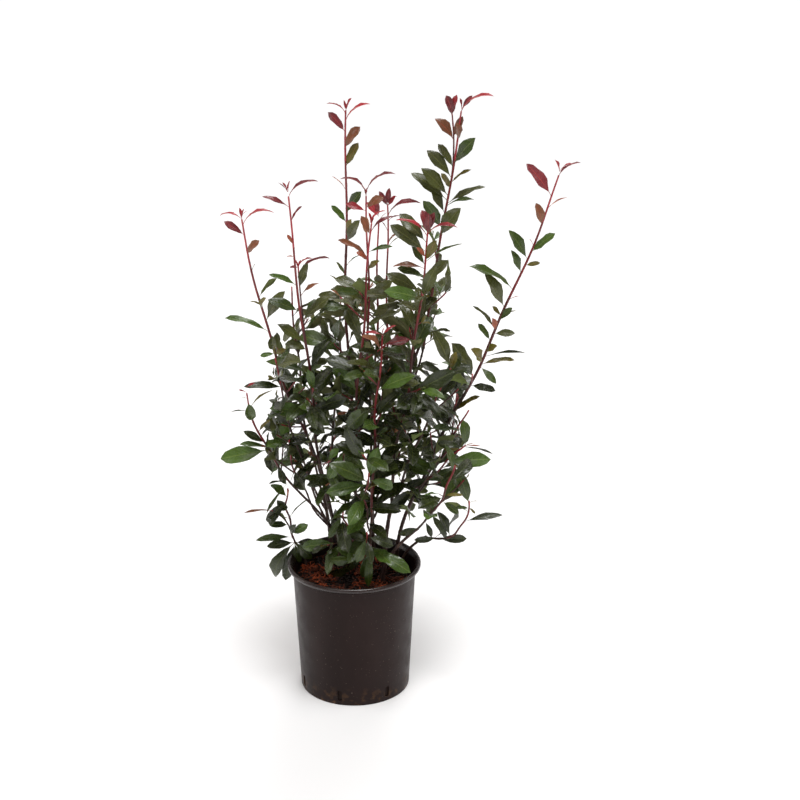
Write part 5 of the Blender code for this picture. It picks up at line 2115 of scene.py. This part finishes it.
@dataclass(frozen=True)
class Sun:
    """A broad, soft light from above: its power and its turn in degrees."""

    name: str
    power: float
    turn: Pair
    angle: float = 28

    def build(self) -> None:
        """Add the light."""
        light = bpy.data.lights.new(self.name, "SUN")
        light.energy = self.power
        light.angle = math.radians(self.angle)
        placed(self.name, light).rotation_euler = (*map(math.radians, self.turn), 0)


@dataclass(frozen=True)
class Panel:
    """A soft panel that faces the shrub: its power in watts, its place and its size."""

    name: str
    power: float
    place: Point
    size: Pair
    colour: Point = (1.0, 0.92, 0.89)
    aim: Point = (0, 0, 0.5)

    def build(self) -> None:
        """Add the panel."""
        light = bpy.data.lights.new(self.name, "AREA")
        light.energy = self.power
        light.color = self.colour
        light.shape = "RECTANGLE"
        light.size, light.size_y = self.size
        made = placed(self.name, light)
        made.location = self.place
        made.visible_camera = False
        way = Vector(self.aim) - Vector(self.place)
        made.rotation_euler = way.to_track_quat("-Z", "Y").to_euler()


@dataclass
class Studio:
    """The floor, the soft light and the camera."""

    floor_radius: float = 40.0
    floor_sides: int = 96
    paper: float = 0.91
    ambient: float = 0.20
    view: View = View()
    focal_share: float = 1775.0 / 800.0
    sensor: float = 36.0
    lights: tuple[Sun | Panel, ...] = (
        Sun("key", 2.3, (14, 6)),
        Sun("rim", 0.95, (-38, 10)),
        Panel("left_panel", 9.0, (-2.4, 0.4, 1.3), (0.8, 2.0)),
        Panel("right_panel", 8.0, (2.4, 0.5, 1.3), (0.8, 2.0)),
        Panel("back_panel", 24.0, (0.0, 3.2, 2.4), (5.0, 2.2)),
        Panel("front_panel", 15.0, (-1.2, -2.2, 2.8), (1.6, 1.2)),
    )

    def build(self) -> None:
        """Make the floor, the light and the camera."""
        form = bmesh.new()
        sides, radius = self.floor_sides, self.floor_radius
        bmesh.ops.create_circle(form, cap_ends=True, segments=sides, radius=radius)
        sketch = Sketch("floor_paper", base_color=(*[self.paper] * 3, 1.0), roughness=0.9)
        floor = object_of("floor", mesh_of("floor", form), sketch.material)
        floor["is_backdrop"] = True
        world = bpy.data.worlds.new("studio")
        bpy.context.scene.world = world
        world.use_nodes = True
        self.backdrop(world.node_tree)
        for light in self.lights:
            light.build()
        self.camera()

    def backdrop(self, tree: bpy.types.NodeTree) -> None:
        """Make the world white to look at and a dim, even light on the shrub."""
        shown, lit = tree.nodes["Background"], tree.nodes.new("ShaderNodeBackground")
        for background, strength in ((shown, 1.0), (lit, self.ambient)):
            background.inputs["Color"].default_value = (1.0, 1.0, 1.0, 1.0)
            background.inputs["Strength"].default_value = strength
        path, blend = tree.nodes.new("ShaderNodeLightPath"), tree.nodes.new("ShaderNodeMixShader")
        tree.links.new(path.outputs["Is Camera Ray"], blend.inputs[0])
        tree.links.new(lit.outputs[0], blend.inputs[1])
        tree.links.new(shown.outputs[0], blend.inputs[2])
        tree.links.new(blend.outputs[0], tree.nodes["World Output"].inputs["Surface"])

    def camera(self) -> None:
        """Set the camera at the photograph's viewing angle."""
        lens = bpy.data.cameras.new("camera")
        lens.sensor_width = self.sensor
        lens.lens = self.focal_share * self.sensor
        lens.clip_end = 200.0
        made = placed("camera", lens)
        made.location = self.view.eye
        made.rotation_euler = (math.radians(90) - PITCH, 0, 0)
        bpy.context.scene.camera = made


def write_sizes(before: tuple[Vector, Vector]) -> None:
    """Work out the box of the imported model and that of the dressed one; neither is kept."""
    boxes = {"cad": before, "visual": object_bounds()}
    {name: [list(corner) for corner in box] for name, box in boxes.items()}


def main() -> None:
    """Build the pot, its filling, the crown and the studio."""
    logging.basicConfig(level=logging.INFO, format="%(name)s %(message)s")
    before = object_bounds()
    bpy.context.scene.view_settings.view_transform = "Standard"
    pot = Pot()
    made = pot.build()
    Mulch(pot, [trunk.foot for trunk in TRUNKS]).build()
    clashes = Clashes()
    vertices = [vertex.co.copy() for vertex in made.data.vertices]
    clashes.add("pot", vertices, [tuple(face.vertices) for face in made.data.polygons])
    crown = Crown(clashes, before)
    crown.grow()
    crown.build()
    Studio().build()
    write_sizes(before)


if __name__ == "__main__":
    main()
